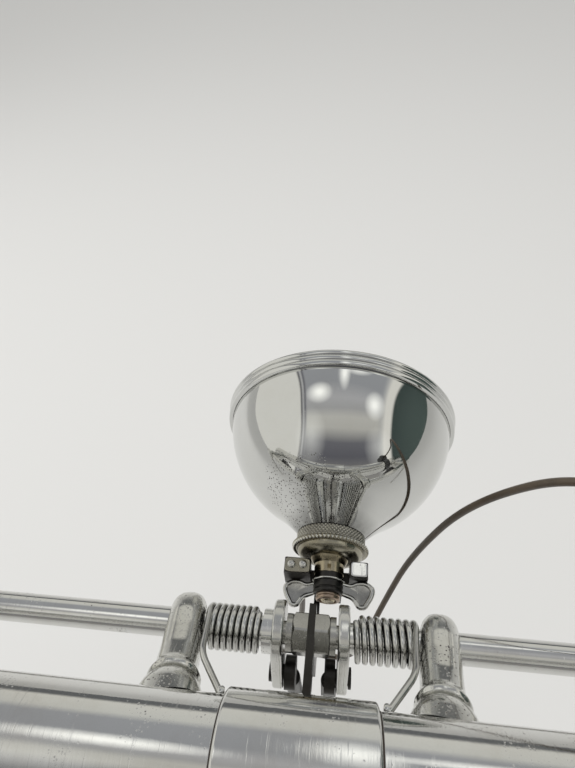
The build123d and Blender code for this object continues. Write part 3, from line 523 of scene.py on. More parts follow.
# Shapes: each surface is a grid of points worked out from two parameters.
def gridMesh(name, points, wrapU=False, wrapV=False, sharp=sharpAngle):
    nu, nv = points.shape[:2]
    u = np.arange(nu if wrapU else nu - 1)[:, None]
    v = np.arange(nv if wrapV else nv - 1)[None, :]
    u2, v2 = (u + 1) % nu, (v + 1) % nv
    faces = np.stack([u * nv + v, u2 * nv + v, u2 * nv + v2, u * nv + v2], axis=-1).reshape(-1, 4)
    mesh = bpy.data.meshes.new(name)
    mesh.vertices.add(nu * nv)
    mesh.vertices.foreach_set("co", (points * mm).astype(np.float32).ravel())
    mesh.loops.add(faces.size)
    mesh.loops.foreach_set("vertex_index", faces.astype(np.int32).ravel())
    mesh.polygons.add(len(faces))
    mesh.polygons.foreach_set("loop_start", np.arange(0, faces.size, 4, dtype=np.int32))
    mesh.update(calc_edges=True)
    work = bmesh.new()
    work.from_mesh(mesh)
    bmesh.ops.remove_doubles(work, verts=work.verts, dist=mergeWithin)
    bmesh.ops.dissolve_degenerate(work, edges=work.edges, dist=mergeWithin)
    bmesh.ops.recalc_face_normals(work, faces=work.faces)
    work.to_mesh(mesh)
    work.free()
    mesh.polygons.foreach_set("use_smooth", np.ones(len(mesh.polygons), bool))
    mesh.set_sharp_from_angle(angle=math.radians(sharp))
    return mesh


def addPiece(name, mesh, body, slotName, finish, *replaced):
    obj = bpy.data.objects.new(name, mesh)
    bpy.context.scene.collection.objects.link(obj)
    mesh.materials.append(materials[finish])
    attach(obj, body)
    if replaced:
        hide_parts(*replaced)


def joinMeshes(name, meshes):
    work = bmesh.new()
    for mesh in meshes:
        work.from_mesh(mesh)
    joined = bpy.data.meshes.new(name)
    work.to_mesh(joined)
    work.free()
    joined.polygons.foreach_set("use_smooth", np.ones(len(joined.polygons), bool))
    joined.set_sharp_from_angle(angle=math.radians(sharpAngle))
    return joined


def fullTurn(count):
    # Angles evenly spaced round one turn.
    return np.linspace(0, tau, count, endpoint=False)


def arcPoints(radius, angle):
    # Radius and distance forward of the points on a circle round the lamp's ball.
    return np.stack([radius * np.cos(angle), radius * np.sin(angle)], axis=-1)


cutShare = 0.45  # the most of a side that a rounded corner takes


def roundCorners(corners, radius, steps=5):
    # Each inner corner becomes a short curve: a weighted mean of the corner and its two cut-back points.
    corners = np.array(corners, float)
    before, here, after = corners[:-2], corners[1:-1], corners[2:]
    toBefore, toAfter = before - here, after - here
    lengthBefore = np.linalg.norm(toBefore, axis=1, keepdims=True)
    lengthAfter = np.linalg.norm(toAfter, axis=1, keepdims=True)
    cut = np.minimum(radius, cutShare * np.minimum(lengthBefore, lengthAfter))
    start = here + toBefore / lengthBefore * cut
    end = here + toAfter / lengthAfter * cut
    t = np.linspace(0, 1, steps)[None, :, None]
    curve = (1 - t)**2 * start[:, None] + 2 * t * (1 - t) * here[:, None] + t**2 * end[:, None]
    return np.concatenate([corners[:1], curve.reshape(-1, corners.shape[1]), corners[-1:]])


def turnedPoints(profile, count, wave=None):
    # The profile's radius and distance forward are carried round the lamp's axis; wave adds to the radius.
    angle = fullTurn(count)[:, None]
    radius, along = profile[None, :, 0], profile[None, :, 1] + 0 * angle
    if wave is not None:
        radius = radius + wave(angle, along, radius)
    turn = math.radians(lampLine["turn"])
    across = radius * np.cos(angle)
    return np.stack([lampLine["x"] + across * math.cos(turn) + along * math.sin(turn),
                     lampLine["ball"] + along * math.cos(turn) - across * math.sin(turn),
                     lampLine["z"] + radius * np.sin(angle)], axis=-1)


def curveBetween(start, heading, end, steps):
    # The arc that leaves the start along its heading and reaches the end.
    start, heading, end = (np.array(v, float) for v in (start, heading, end))
    chord = end - start
    aside = np.array([-heading[1], heading[0]])
    radius = chord @ chord / (2 * (aside @ chord))
    centre = start + aside * radius
    sweep = 2 * math.atan2(aside @ chord, heading @ chord)
    turn = np.linspace(0, sweep, steps)[:, None]
    return centre - radius * (aside * np.cos(turn) - heading * np.sin(turn))


def sweptPoints(path, radii, sides=14, aside=(1, 0, 0)):
    # A circle is carried along the path, square to it, and set out from one fixed direction.
    along = np.gradient(path, axis=0)
    along /= np.linalg.norm(along, axis=1, keepdims=True)
    across = np.array(aside, float) - along * (along @ np.array(aside, float))[:, None]
    across /= np.linalg.norm(across, axis=1, keepdims=True)
    upward = np.cross(along, across)
    angle = fullTurn(sides)[None, :, None]
    ring = across[:, None] * np.cos(angle) + upward[:, None] * np.sin(angle)
    return path[:, None] + np.asarray(radii)[:, None, None] * ring


# Springs: a coil round the rod, and a leg that runs back along the post and ends against the bar.
springs = {
    "coils": 8,
    "stepsPerTurn": 48,
    "wireRadius": 0.825,
    "coilRadius": 5.325,  # to the wire's middle
    "postFace": 29.4,  # from the bar's middle out to the post's inner face
    "faceGap": 0.3,
    "leg": 17.0,
    "legBend": 3.0,
    "hookOut": 18.4,  # from the bar's middle
    "hookAngle": -25.0,  # round the bar, from straight forward
    "hookTail": 3.5,
    "barRadius": 11.1,
    "barGap": 0.05,
    # The wire's cut ends are eased: share of a step along it, and share of its radius.
    "endSteps": (0.0, 0.04, 0.12),
    "endRadii": (0.0, 0.75, 1.0),
    "sides": {"left": (-1, 1.75), "right": (1, 2.0)},  # side and pitch
}


def springMesh(name, side, pitch, s):
    start = side * (s["postFace"] - s["faceGap"] - s["wireRadius"])
    tilt = math.atan2(rodBelow, rodForward)
    alongPost = np.array([side * postLean, rodForward, rodBelow])
    alongPost /= np.linalg.norm(alongPost)
    down = np.array([0, math.cos(tilt), math.sin(tilt)])
    up = np.array([0, -math.sin(tilt), math.cos(tilt)])
    rod = np.array([start, rodLine["y"], rodLine["z"]])
    first = rod + up * s["coilRadius"]
    # The leg ends in a hook that lies against the bar.
    turn = math.radians(s["hookAngle"])
    forward, upward = math.cos(turn), math.sin(turn)
    gap = s["barRadius"] + s["wireRadius"] + s["barGap"]
    hook = np.array([side * s["hookOut"], barCentre.y + gap * forward, barCentre.z + gap * upward])
    tail = hook + np.array([0, -upward, forward]) * s["hookTail"]
    leg = roundCorners([tail, hook, first - alongPost * s["leg"], first], s["legBend"], 8)
    # The coil turns about the rod's line while it moves along it.
    angle = np.linspace(0, tau * s["coils"], s["stepsPerTurn"] * s["coils"] + 1)[1:, None]
    axis = np.array([-side, 0, 0])
    coil = rod + s["coilRadius"] * (up * np.cos(angle) + down * np.sin(angle)) + axis * pitch * angle / tau
    path = np.concatenate([leg, coil])
    steps = np.array(s["endSteps"])[:, None]
    headEnd = path[0] + steps * (path[1] - path[0])
    tailEnd = (path[-1] + steps * (path[-2] - path[-1]))[::-1]
    ends = np.array(s["endRadii"]) * s["wireRadius"]
    radii = np.concatenate([ends, np.full(len(path) - 2, s["wireRadius"]), ends[::-1]])
    return gridMesh(name, sweptPoints(np.concatenate([headEnd, path[1:-1], tailEnd]), radii), wrapV=True)


flatAxes = ((1, 0, 0), (0, 1, 0), (0, 0, 1))  # sections that lie flat, stacked upwards


def ringLoft(origin, axes, rows, count=48):
    # Each row is a rounded section: place along the third axis, half sizes along the other two, squareness.
    angle = fullTurn(count)[:, None]
    rows = np.array(rows, float)
    along, halfA, halfB, power = (rows[None, :, i] for i in range(4))
    a = halfA * np.sign(np.cos(angle)) * np.abs(np.cos(angle))**(2 / power)
    b = halfB * np.sign(np.sin(angle)) * np.abs(np.sin(angle))**(2 / power)
    first, second, third = (np.array(axis, float) for axis in axes)
    points = np.array(origin, float) + a[..., None] * first + b[..., None] * second
    return points + (along + 0 * a)[..., None] * third


def boredMesh(name, mesh, start, end, radius):
    # A round bore is cut through a closed mesh with a boolean, and the result is kept as a plain mesh.
    length = np.linalg.norm(end - start)
    along = (end - start) / length
    slanting = (0.3, 0.2, 0.9)  # any direction but the bore's own
    aside = np.cross(along, slanting)
    aside /= np.linalg.norm(aside)
    rows = [(0, 0, 0, 2), (0, radius, radius, 2), (length, radius, radius, 2), (length, 0, 0, 2)]
    cutterMesh = gridMesh("cutter", ringLoft(start, (aside, np.cross(along, aside), along), rows), wrapU=True)
    body, cutter = bpy.data.objects.new("boreBody", mesh), bpy.data.objects.new("boreCutter", cutterMesh)
    for obj in (body, cutter):
        bpy.context.scene.collection.objects.link(obj)
    cut = body.modifiers.new("bore", "BOOLEAN")
    cut.operation, cut.solver, cut.object = "DIFFERENCE", "EXACT", cutter
    bored = bpy.data.meshes.new_from_object(body.evaluated_get(bpy.context.evaluated_depsgraph_get()))
    for obj in (body, cutter):
        bpy.data.objects.remove(obj)
    bored.name = name
    bored.materials.clear()
    bored.set_sharp_from_angle(angle=math.radians(sharpAngle))
    return bored


# Posts: a domed foot that sits on the bar, a groove, a ring, and a finger that rounds over the rod.
posts = {
    "out": 34.8,  # from the bar's middle out to the post's line at the rod
    "barRadius": 11.15,
    "rodBore": 4.05,
    "boreReach": 12.0,
    "eye": 8.2,
    "halfWidth": 5.4,
    "squareness": 2.5,
    "tipFlatness": 0.55,
    "edge": 0.8,
    "soleRings": (0, 4.0, 6.5),  # radii of the rings that close the sole
    # place along the post from the bar's centre, half width, half depth, squareness
    "foot": [(10.6, 8.0, 8.0, 2), (12.4, 8.0, 8.0, 2), (14.8, 7.3, 7.3, 2), (16.3, 5.9, 5.9, 2),
             (16.5, 5.2, 5.2, 2), (17.1, 5.2, 5.2, 2), (17.3, 6.1, 6.1, 2), (18.3, 6.8, 6.8, 2),
             (19.3, 6.2, 6.4, 2), (20.2, 5.35, 6.1, 2.2), (25.0, 5.2, 6.2, 2.4), (31.0, 5.3, 7.0, 2.5),
             (36.0, 5.4, 8.0, 2.5), (39.14, 5.4, 8.2, 2.5)],
}


def postMesh(name, side, p):
    up = np.array([side * postLean, rodForward, rodBelow])
    span = np.linalg.norm(up)
    up /= span
    across = np.array([1.0, 0, 0]) - up * up[0]
    across /= np.linalg.norm(across)
    origin = np.array([side * (p["out"] - postLean), barCentre.y, barCentre.z])
    # Past the rod the section shrinks round a quarter turn, as a fingertip does.
    turn = np.linspace(0, quarterTurn, 15)[1:]
    tip = np.stack([span + p["eye"] * np.sin(turn), p["halfWidth"] * np.cos(turn)**p["tipFlatness"],
                    p["eye"] * np.cos(turn), np.full(len(turn), p["squareness"])], axis=-1)
    sole = p["foot"][0][0]
    soleRows = [(sole, radius, radius, 2) for radius in p["soleRings"]]
    rows = np.concatenate([soleRows, roundCorners(p["foot"], p["edge"]), tip])
    points = ringLoft((0, 0, 0), flatAxes, rows, 72)
    # What is at the sole, or would cut into the bar, is lifted on to the bar.
    height = points[..., 2]
    seat = np.sqrt(np.maximum(p["barRadius"]**2 - points[..., 1]**2, 0))
    onSole = height < sole + 0.01
    points[..., 2] = np.where(onSole, seat, np.maximum(seat, height))
    axes = np.stack([across, np.cross(up, across), up])
    mesh = gridMesh(name, origin + points @ axes, wrapU=True, sharp=50)
    rod = np.array([side * p["out"], rodLine["y"], rodLine["z"]])
    reach = np.array([p["boreReach"], 0, 0])
    return boredMesh(name, mesh, rod - reach, rod + reach, p["rodBore"])


for label, side in (("left", -1), ("right", 1)):
    name = f"{label}Post"
    addPiece(name, postMesh(name, side, posts), "frame", "cast_chrome", "castChrome", f"post_{label}")
print("posts made")

for label, (side, pitch) in springs["sides"].items():
    name = f"{label}Spring"
    mesh = springMesh(name, side, pitch, springs)
    addPiece(name, mesh, "frame", "spring_steel", "springSteel", f"spring_{label}")
print("springs made")

# Knurled ring round the lamp's neck, with a plug into the bowl and a round socket for the ball.
ring = {
    "radius": 12.0,
    "back": 0.8,
    "length": 3.95,
    # Each edge: how far under the radius, and how far in from its face.
    "backEdge": [(0.7, 0), (0.4, 0.1)],
    "frontEdge": [(0.4, 0.1), (0.6, 0)],
    "bandUnder": 0.17,
    "bandMargin": 0.3,
    "bandSteps": 25,
    "plug": 10.0,
    "plugDepth": 4.2,
    "bore": 7.55,
    "boreEnd": 0.48,  # in half turns
    "diamonds": 58,
    "knurlDepth": 0.46,
    "pitch": 1.3,
}


def ringMesh(r):
    back, front = r["back"], r["back"] + r["length"]
    bandPlaces = np.linspace(back + r["bandMargin"], front - r["bandMargin"], r["bandSteps"])
    band = np.stack([np.full(r["bandSteps"], r["radius"] - r["bandUnder"]), bandPlaces], axis=-1)
    backEdge = [(r["radius"] - under, back + inward) for under, inward in r["backEdge"]]
    frontEdge = [(r["radius"] - under, front - inward) for under, inward in r["frontEdge"]]
    plugEnd = front + r["plugDepth"]
    plug = [(r["plug"], front), (r["plug"], plugEnd), (0, plugEnd), (0, r["bore"])]
    bore = np.linspace(math.asin(back / r["bore"]), r["boreEnd"] * math.pi, 14)[::-1]
    profile = np.concatenate([backEdge, band, frontEdge, plug, arcPoints(r["bore"], bore)])

    def knurl(angle, along, radius):
        # Two crossed sets of grooves leave small diamonds: the lower of two folded waves.
        turns, shift = angle * r["diamonds"] / tau, along / r["pitch"]
        foldA, foldB = (1 - 2 * np.abs(t % 1 - 0.5) for t in (turns + shift, turns - shift))
        onBand = radius > r["radius"] - 2 * r["bandUnder"]
        return np.where(onBand, r["knurlDepth"] * (np.minimum(foldA, foldB) - 0.5), 0.0)

    points = turnedPoints(profile, r["diamonds"] * 10, knurl)
    return gridMesh("knurledRing", points, wrapU=True, wrapV=True, sharp=50)


# Flange behind the ring: a toothed edge, a domed hub, and the other half of the ball's socket.
flange = {
    "radius": 13.3,
    "back": -0.8,
    "front": 0.8,
    "frontInset": 1.2,
    "edge": 0.9,
    "edgeFlatness": 0.7,
    "teeth": 62,
    "toothDepth": 0.95,
    "toothLean": 0.7,
    "toothFlatness": 0.6,
    "hub": 11.5,
    "hubGap": 0.2,
    "hubFoot": 7.4,
    "hubDepth": 3.8,
    "bore": 7.55,
    "ropeThick": 0.78,
    "ropeThin": 0.62,  # share of the thickness that is left between two beads
    "ropeLean": 0.4,
    "ropeInset": 0.85,
    "ropeAt": -0.05,
}


def flangeMesh(f):
    back, depth, bore = f["back"], f["hubDepth"], f["bore"]
    opening = math.sqrt(bore**2 - depth**2)
    socket = arcPoints(bore, np.linspace(math.asin(-depth / bore), math.asin(f["front"] / bore), 16))
    # The dome is a quarter of an ellipse between the hub's foot and its edge.
    swell = np.linspace(quarterTurn, 0, 14)
    dome = np.stack([f["hubFoot"] + (f["hub"] - f["hubFoot"]) * np.cos(swell),
                     back - (depth + back) * np.sin(swell)], axis=-1)
    turn = np.linspace(-quarterTurn, quarterTurn, 13)
    half = (f["front"] - back) / 2
    bead = np.stack([f["radius"] - f["edge"] + f["edge"] * np.cos(turn)**f["edgeFlatness"],
                     back + half + half * np.sin(turn)], axis=-1)
    profile = np.concatenate([socket, [(f["radius"] - f["frontInset"], f["front"])], bead[::-1],
                              [(f["hub"] + f["hubGap"], back)], dome[::-1], [(opening, -depth)]])

    def teeth(angle, along, radius):
        # Rope-like teeth: rounded notches round the edge, which lean with the distance along it.
        wave = np.abs(np.sin(angle * f["teeth"] / 2 + along * f["toothLean"]))**f["toothFlatness"]
        return -f["toothDepth"] * (1 - wave) * np.clip((radius - f["radius"] + f["edge"]) / f["edge"], 0, 1)

    points = turnedPoints(profile, f["teeth"] * 10, teeth)
    return gridMesh("toothedFlange", points, wrapU=True, wrapV=True, sharp=60)


def roundLampLine(radius, along, angle):
    # Points at a radius and angle round the straight line through the lamp's ball.
    return np.stack([lampLine["x"] + radius * np.cos(angle), along, lampLine["z"] + radius * np.sin(angle)],
                    axis=-1)


def ropeEdgeMesh(f):
    # A ring round the flange's edge whose thickness swells into leaning beads, one to a tooth.
    angle, around = fullTurn(f["teeth"] * 10)[:, None], fullTurn(16)[None, :]
    beads = np.abs(np.sin(angle * f["teeth"] / 2 + around * f["ropeLean"]))
    thick = f["ropeThick"] * (f["ropeThin"] + (1 - f["ropeThin"]) * beads)
    radius = f["radius"] - f["ropeInset"] + thick * np.cos(around)
    along = lampLine["ball"] + f["ropeAt"] + thick * np.sin(around)
    return gridMesh("ropeEdge", roundLampLine(radius, along, angle), wrapU=True, wrapV=True)


# Wing nut behind the strap: a grooved hub, a lock washer, an end ring, and two rimmed and scooped wings.
wingNut = {
    "strapBack": 99.7,
    "turn": 8.0,
    # Closed profiles of the turned parts: radius, and place along the screw.
    "hub": [(2.85, -4.6), (4.6, -4.6), (5.0, -4.2), (5.0, -3.3), (4.75, -3.15), (4.75, -2.9), (5.0, -2.75),
            (5.0, -0.9), (4.85, -0.75), (2.85, -0.75)],
    "washer": [(2.85, -0.72), (5.3, -0.72), (5.5, -0.55), (5.5, -0.2), (5.3, -0.06), (2.85, -0.06)],
    "endRing": [(2.85, -6.6), (3.6, -6.6), (4.0, -6.3), (4.0, -5.5), (3.8, -5.35), (4.0, -5.2), (4.0, -4.62),
                (2.85, -4.62)],
    "turnedEdge": 0.15,
    # One wing: distance out from the screw, and place along it.
    "outline": [(4.2, -2.6), (4.6, -1.0), (7.6, -1.7), (9.4, -0.8), (12.4, -0.6), (14.7, -2.4), (14.2, -4.6),
                (12.0, -8.2), (10.2, -8.2), (8.4, -5.4), (4.6, -4.2), (4.2, -2.6)],
    "corner": 1.6,
    "middle": (10.9, -4.0),
    "rim": 0.75,
    "rimSwell": (0.85, 0.3, 5.0, 9.0),  # share at the root, gain, where it begins, over what distance
    "web": 0.42,
}


def wingTurned(name, profile, w):
    profile = roundCorners(profile + profile[:1], w["turnedEdge"], 3)
    angle = fullTurn(96)[:, None]
    points = roundLampLine(profile[None, :, 0], w["strapBack"] + profile[None, :, 1] + 0 * angle, angle)
    return gridMesh(name, points, wrapU=True, wrapV=True)


def wingMeshes(side, w):
    turn = math.radians(w["turn"])
    first = side * np.array([math.cos(turn), 0, math.sin(turn)])
    third = side * np.array([-math.sin(turn), 0, math.cos(turn)])
    axes = np.stack([first, (0, 1, 0), third])
    origin = np.array([lampLine["x"], w["strapBack"], lampLine["z"]])
    edge = roundCorners(w["outline"], w["corner"], 8)[:-1]
    # The rim is a circle carried round the outline; the web is a thin dished plate inside it.
    along = np.roll(edge, -1, axis=0) - np.roll(edge, 1, axis=0)
    along /= np.linalg.norm(along, axis=1, keepdims=True)
    outward = np.stack([along[:, 1], -along[:, 0]], axis=-1)
    angle = fullTurn(12)[None, :]
    root, gain, start, over = w["rimSwell"]
    swell = w["rim"] * (root + gain * np.clip((edge[:, 0] - start) / over, 0, 1))[:, None]
    rim = np.concatenate([edge[:, None] + (swell * np.cos(angle))[..., None] * outward[:, None],
                          (swell * np.sin(angle))[..., None]], axis=-1)
    share = np.linspace(0, 1, 8)
    across = np.concatenate([share, share[::-1]])
    height = w["web"] * np.concatenate([0.5 + 0.5 * share**2, -0.5 - 0.5 * share[::-1]**2])
    middle = np.array(w["middle"])
    flat = middle + (edge[:, None] - middle) * across[None, :, None]
    web = np.concatenate([flat, np.broadcast_to(height, flat.shape[:2])[..., None]], axis=-1)
    return (gridMesh("wingRim", origin + rim @ axes, wrapU=True, wrapV=True),
            gridMesh("wingWeb", origin + web @ axes, wrapU=True))


wingRims, wingWebs = zip(*(wingMeshes(side, wingNut) for side in (1, -1)))
# The rims take a brighter steel than the webs of the same nut: painted highlight on the wings' edges.
addPiece("wingRims", joinMeshes("wingRims", wingRims), "frame", "steel", "wingSteel", "wing_nut")
addPiece("wingWebs", joinMeshes("wingWebs", wingWebs), "frame", "steel", "wornSteel")
for name, part, slotName, finish in (("wingHub", "hub", "steel", "darkSteel"),
                                     ("lockWasher", "washer", "steel", "plateChrome"),
                                     ("wingEndRing", "endRing", "brass", "copper")):
    addPiece(name, wingTurned(name, wingNut[part], wingNut), "frame", slotName, finish)
print("wing nut made")

# Thin plates that lie on the bracket's two ears.
earPlates = {
    # middle, half sizes, thickness, finish
    "rightEarPlate": ((14.0, 102.2, 31.98), (2.7, 2.3), 0.45, "barChrome"),
    "leftEarPlate": ((-6.3, 102.2, 31.98), (4.1, 2.3), 0.35, "domeNickel"),
}
# The plates' edge: squareness of the corners, and share of the thickness and inset of each step upwards.
plateEdge = {"squareness": 6, "steps": [(0.6, 0), (0.9, 0.08), (1, 0.25), (1, 0.5)]}


def plateMesh(name, middle, halfX, halfY, thick, e):
    # A flat plate with rounded corners and an eased top edge.
    square = e["squareness"]
    rows = [(0, 0, 0, square), (0, halfX, halfY, square)]
    rows += [(share * thick, halfX - inset, halfY - inset, square) for share, inset in e["steps"]]
    rows += [(thick, 0.5 * halfX, 0.5 * halfY, square), (thick, 0, 0, square)]
    return gridMesh(name, ringLoft(middle, flatAxes, rows, 64), wrapU=True)


for name, (middle, (halfX, halfY), thick, finish) in earPlates.items():
    addPiece(name, plateMesh(name, middle, halfX, halfY, thick, plateEdge), "frame", "steel", finish)

# Small domed heads: two rivets on the left ear's plate, and two screws that hold the switch's lid.
domedHeads = {
    # radius, rise, and the middle of each head
    "earRivets": (1.45, 0.95, [(-8.3, 102.3, 32.3), (-4.5, 102.5, 32.3)]),
    "switchScrews": (1.3, 0.6, [(93.8, 52.3, 93.1), (106.2, 52.3, 93.1)]),
}


def headMesh(place, radius, rise):
    # Each head is a quarter circle turned round its own middle, on a foot that is sunk a little.
    turn, foot = np.linspace(0, quarterTurn, 9), -0.3
    rows = [(foot, 0, 0, 2), (foot, radius, radius, 2)]
    rows += [(rise * math.sin(t), radius * math.cos(t), radius * math.cos(t), 2) for t in turn]
    return gridMesh("head", ringLoft(place, flatAxes, rows, 32), wrapU=True)


for name, (radius, rise, places) in domedHeads.items():
    heads = [headMesh(place, radius, rise) for place in places]
    addPiece(name, joinMeshes(name, heads), "frame", "steel", "wingSteel")
print("ear plates, rivets and screws made")

addPiece("knurledRing", ringMesh(ring), "lamp", "steel", "knurlNickel", "knurled_ring")
addPiece("toothedFlange", flangeMesh(flange), "lamp", "steel", "domeNickel", "lamp_flange")
addPiece("ropeEdge", ropeEdgeMesh(flange), "lamp", "steel", "ropeNickel")
print("lamp back made")

# Bowl: a spun shell with a faint waviness, as hand-finished brass has.
bowl = {
    "radius": 43.4,
    "wall": 1.2,
    "middle": 50.6,  # of the sphere, in front of the lamp's ball
    "mouth": 2.6,  # from the sphere's middle back to the bowl's edge
    "hole": 10.05,
    "neck": 11.8,
    "neckBack": 4.8,
    "spread": 23.0,  # radius at which the sphere gives way to the neck's curve
    # Waves under two hundredths of a millimetre: height, count round the bowl, and lean along it.
    "waves": [(0.014, 3, 0.16), (0.010, 5, -0.31), (0.005, 11, 0.5)],
    "wavesBeyond": 13.0,
}


def bowlSide(radius, neck, back, b, steps):
    leave = math.asin(b["spread"] / b["radius"])
    angle = np.linspace(math.acos(b["mouth"] / radius), leave, steps)
    sphere = np.stack([radius * np.sin(angle), b["middle"] - radius * np.cos(angle)], axis=-1)
    collar = curveBetween(sphere[-1], (-math.cos(leave), -math.sin(leave)), (neck, back), 16)
    return np.concatenate([sphere, collar[1:]])


def bowlMesh(b):
    outside = bowlSide(b["radius"], b["neck"], b["neckBack"], b, 84)
    inside = bowlSide(b["radius"] - b["wall"], b["neck"] - b["wall"], b["neckBack"] + b["wall"], b, 50)
    seat = [(b["hole"], b["neckBack"]), (b["hole"], b["neckBack"] + b["wall"])]

    def waviness(angle, along, radius):
        waves = sum(height * np.sin(count * angle + lean * along) for height, count, lean in b["waves"])
        return waves * (radius > b["wavesBeyond"])

    profile = np.concatenate([outside, seat, inside[::-1]])
    return gridMesh("spunBowl", turnedPoints(profile, 300, waviness), wrapU=True, wrapV=True)


addPiece("spunBowl", bowlMesh(bowl), "lamp", "chrome", "bowlChrome", "lamp_bowl")

# Rim: three rolled beads with grooves between them, and the lip over the glass.
rim = {
    "inner": 43.37,
    "bed": 44.57,
    "back": 47.0,
    "front": 53.1,
    "swell": (0.4, 0.7, 1.0),
    "beadFlatness": 0.6,
    "groove": 0.06,  # share of a half turn that each side of a bead leaves out
    "lip": 38.77,
    "lipBack": 51.45,
    "lipEdge": 0.4,
}


def rimMesh(r):
    # Each bead is half an ellipse.
    bead = (r["front"] - r["back"]) / len(r["swell"])
    turn = np.linspace(r["groove"] * math.pi, (1 - r["groove"]) * math.pi, 12)
    beads = [np.stack([r["bed"] + swell * np.sin(turn)**r["beadFlatness"],
                       r["back"] + bead * (i + 0.5 - 0.5 * np.cos(turn))], axis=-1)
             for i, swell in enumerate(r["swell"])]
    lip = roundCorners([beads[-1][-1], (r["bed"] - r["lipEdge"], r["front"]), (r["lip"], r["front"]),
                        (r["lip"], r["lipBack"]), (r["inner"], r["lipBack"])], r["lipEdge"])
    profile = np.concatenate([[(r["inner"], r["back"])], *beads, lip[1:]])
    return gridMesh("beadedRim", turnedPoints(profile, 300), wrapU=True, wrapV=True, sharp=50)


addPiece("beadedRim", rimMesh(rim), "lamp", "chrome", "bowlChrome", "lamp_rim")
print("bowl and rim made")

# Lens: a bulged glass, smooth outside, with upright flutes on its inner face.
lens = {
    "edge": 43.3,
    "flat": 38.4,
    "back": 49.0,
    "thick": 2.4,
    "bulge": 7.0,
    "fluteWidth": 3.4,
    "fluteDepth": 0.7,
    "fluteMargin": 1.0,
    "fluteFade": 2.0,
}


def lensMesh(g):
    # The bulge is a part of a sphere; outside it the glass is flat.
    flat = g["flat"]
    dish = (flat**2 + g["bulge"]**2) / (2 * g["bulge"])
    radius = np.concatenate([np.linspace(0, flat, 60), np.linspace(flat, g["edge"], 5)[1:]])
    sphere = np.sqrt(dish**2 - np.minimum(radius, flat)**2) - dish + g["bulge"]
    bulge = np.where(radius < flat, sphere, 0)
    front = np.stack([radius, g["back"] + g["thick"] + bulge], axis=-1)
    back = np.stack([radius, g["back"] + bulge], axis=-1)
    profile = np.concatenate([front, back[::-1]])
    points = turnedPoints(profile, 240)
    # The inner face is pressed forward in rows of half-round hollows across the glass.
    side = points[..., 0] - lampLine["x"]
    inner = np.arange(len(profile)) >= len(front)
    fade = np.clip((flat - g["fluteMargin"] - profile[:, 0]) / g["fluteFade"], 0, 1)
    points[..., 1] += inner * fade * g["fluteDepth"] * np.abs(np.sin(math.pi * side / g["fluteWidth"]))
    return gridMesh("flutedLens", points, wrapU=True, sharp=60)


addPiece("flutedLens", lensMesh(lens), "lamp", "lens_glass", "lensGlass", "lamp_lens")

# Bulb: a brass cap through the reflector, a glass bulb, and a coiled filament on two wires.
bulb = {
    "capBack": 16.0,
    # radius, and distance in front of the cap's back
    "cap": [(0, 0), (2.0, 0), (2.2, 0.6), (3.4, 0.9), (4.0, 1.6), (4.0, 7.2), (4.5, 7.6), (4.5, 10.6),
            (3.2, 11.0), (0, 11.0)],
    "capEdge": 0.3,
    "glass": [(3.1, 10.8), (3.6, 12.4), (4.5, 14.4), (4.6, 16.0), (4.2, 18.0), (3.0, 19.8), (1.2, 20.8),
              (0, 20.9)],
    "glassEdge": 1.2,
    "wire": 0.14,
    "wireFoot": 10.8,
    "filamentAt": 15.6,
    "filamentSpan": 2.6,
    "filamentRadius": 0.35,
    "filamentTurns": 24,
}


def bulbTurned(name, profile, edge, b):
    rounded = roundCorners(profile, edge, 4)
    rounded[:, 1] += b["capBack"]
    return gridMesh(name, turnedPoints(rounded, 72), wrapU=True, sharp=50)


def filamentMesh(b):
    # Two upright wires, and between them a fine coil whose radius swings round its own line.
    half, at, foot = b["filamentSpan"] / 2, b["capBack"] + b["filamentAt"], b["capBack"] + b["wireFoot"]
    along = np.linspace(0, 1, 240)
    turns = b["filamentTurns"] * tau * along
    coil = np.stack([half * (2 * along - 1), at + b["filamentRadius"] * np.cos(turns),
                     b["filamentRadius"] * np.sin(turns)], axis=-1)
    wires = [np.array([[side * half, foot, 0], [side * half, at, 0]]) for side in (-1, 1)]
    meshes = []
    for path in (coil, *wires):
        path = path + np.array([lampLine["x"], lampLine["ball"], lampLine["z"]])
        points = sweptPoints(path, np.full(len(path), b["wire"]), 6, aside=(0.2, 0.1, 1))
        meshes.append(gridMesh("wire", points, wrapV=True))
    return joinMeshes("filament", meshes)


addPiece("bulbGlass", bulbTurned("bulbGlass", bulb["glass"], bulb["glassEdge"], bulb), "lamp", "bulb_glass",
         "bulbGlass", "lamp_bulb")
addPiece("bulbCap", bulbTurned("bulbCap", bulb["cap"], bulb["capEdge"], bulb), "lamp", "brass",
         "tarnishedBrass")
addPiece("filament", filamentMesh(bulb), "lamp", "steel", "wornSteel")
print("lens and bulb made")

# Grips: a flange, a ribbed and slightly swelled body, fine lengthwise flutes between the ribs, a round end.
grip = {
    "corner": 196.757,  # from the bar's middle out to where its bend's two straight lines meet
    "tail": 189.757,  # from there back to the bar's end
    "sweep": 72.0,
    "drop": 7.0,
    "length": 118.0,
    "inset": 113.5,  # how far the bar reaches into the grip
    "bore": 11.2,
    "radius": 15.0,
    "swell": 1.4,
    "flangeRadius": 18.0,
    "flange": 4.0,
    "flangeEdge": 0.8,
    "foot": (1.2, 0.2, 0.4),  # how far the body spreads at the flange, and begins and ends to
    "headRounding": 0.7,
    "endLength": 10.0,
    "end": [(14.6, 3.5), (11.0, 0)],  # radius, and distance from the end
    "endRounding": 2.5,
    "ribs": 9,
    "ribDepth": 0.9,
    "ribFlatness": 0.5,
    "ribStart": 4.0,
    "ribFades": (2.0, 3.0),  # over what distance the ribs come in and go out
    "flutes": 40,
    "fluteDepth": 0.35,
}


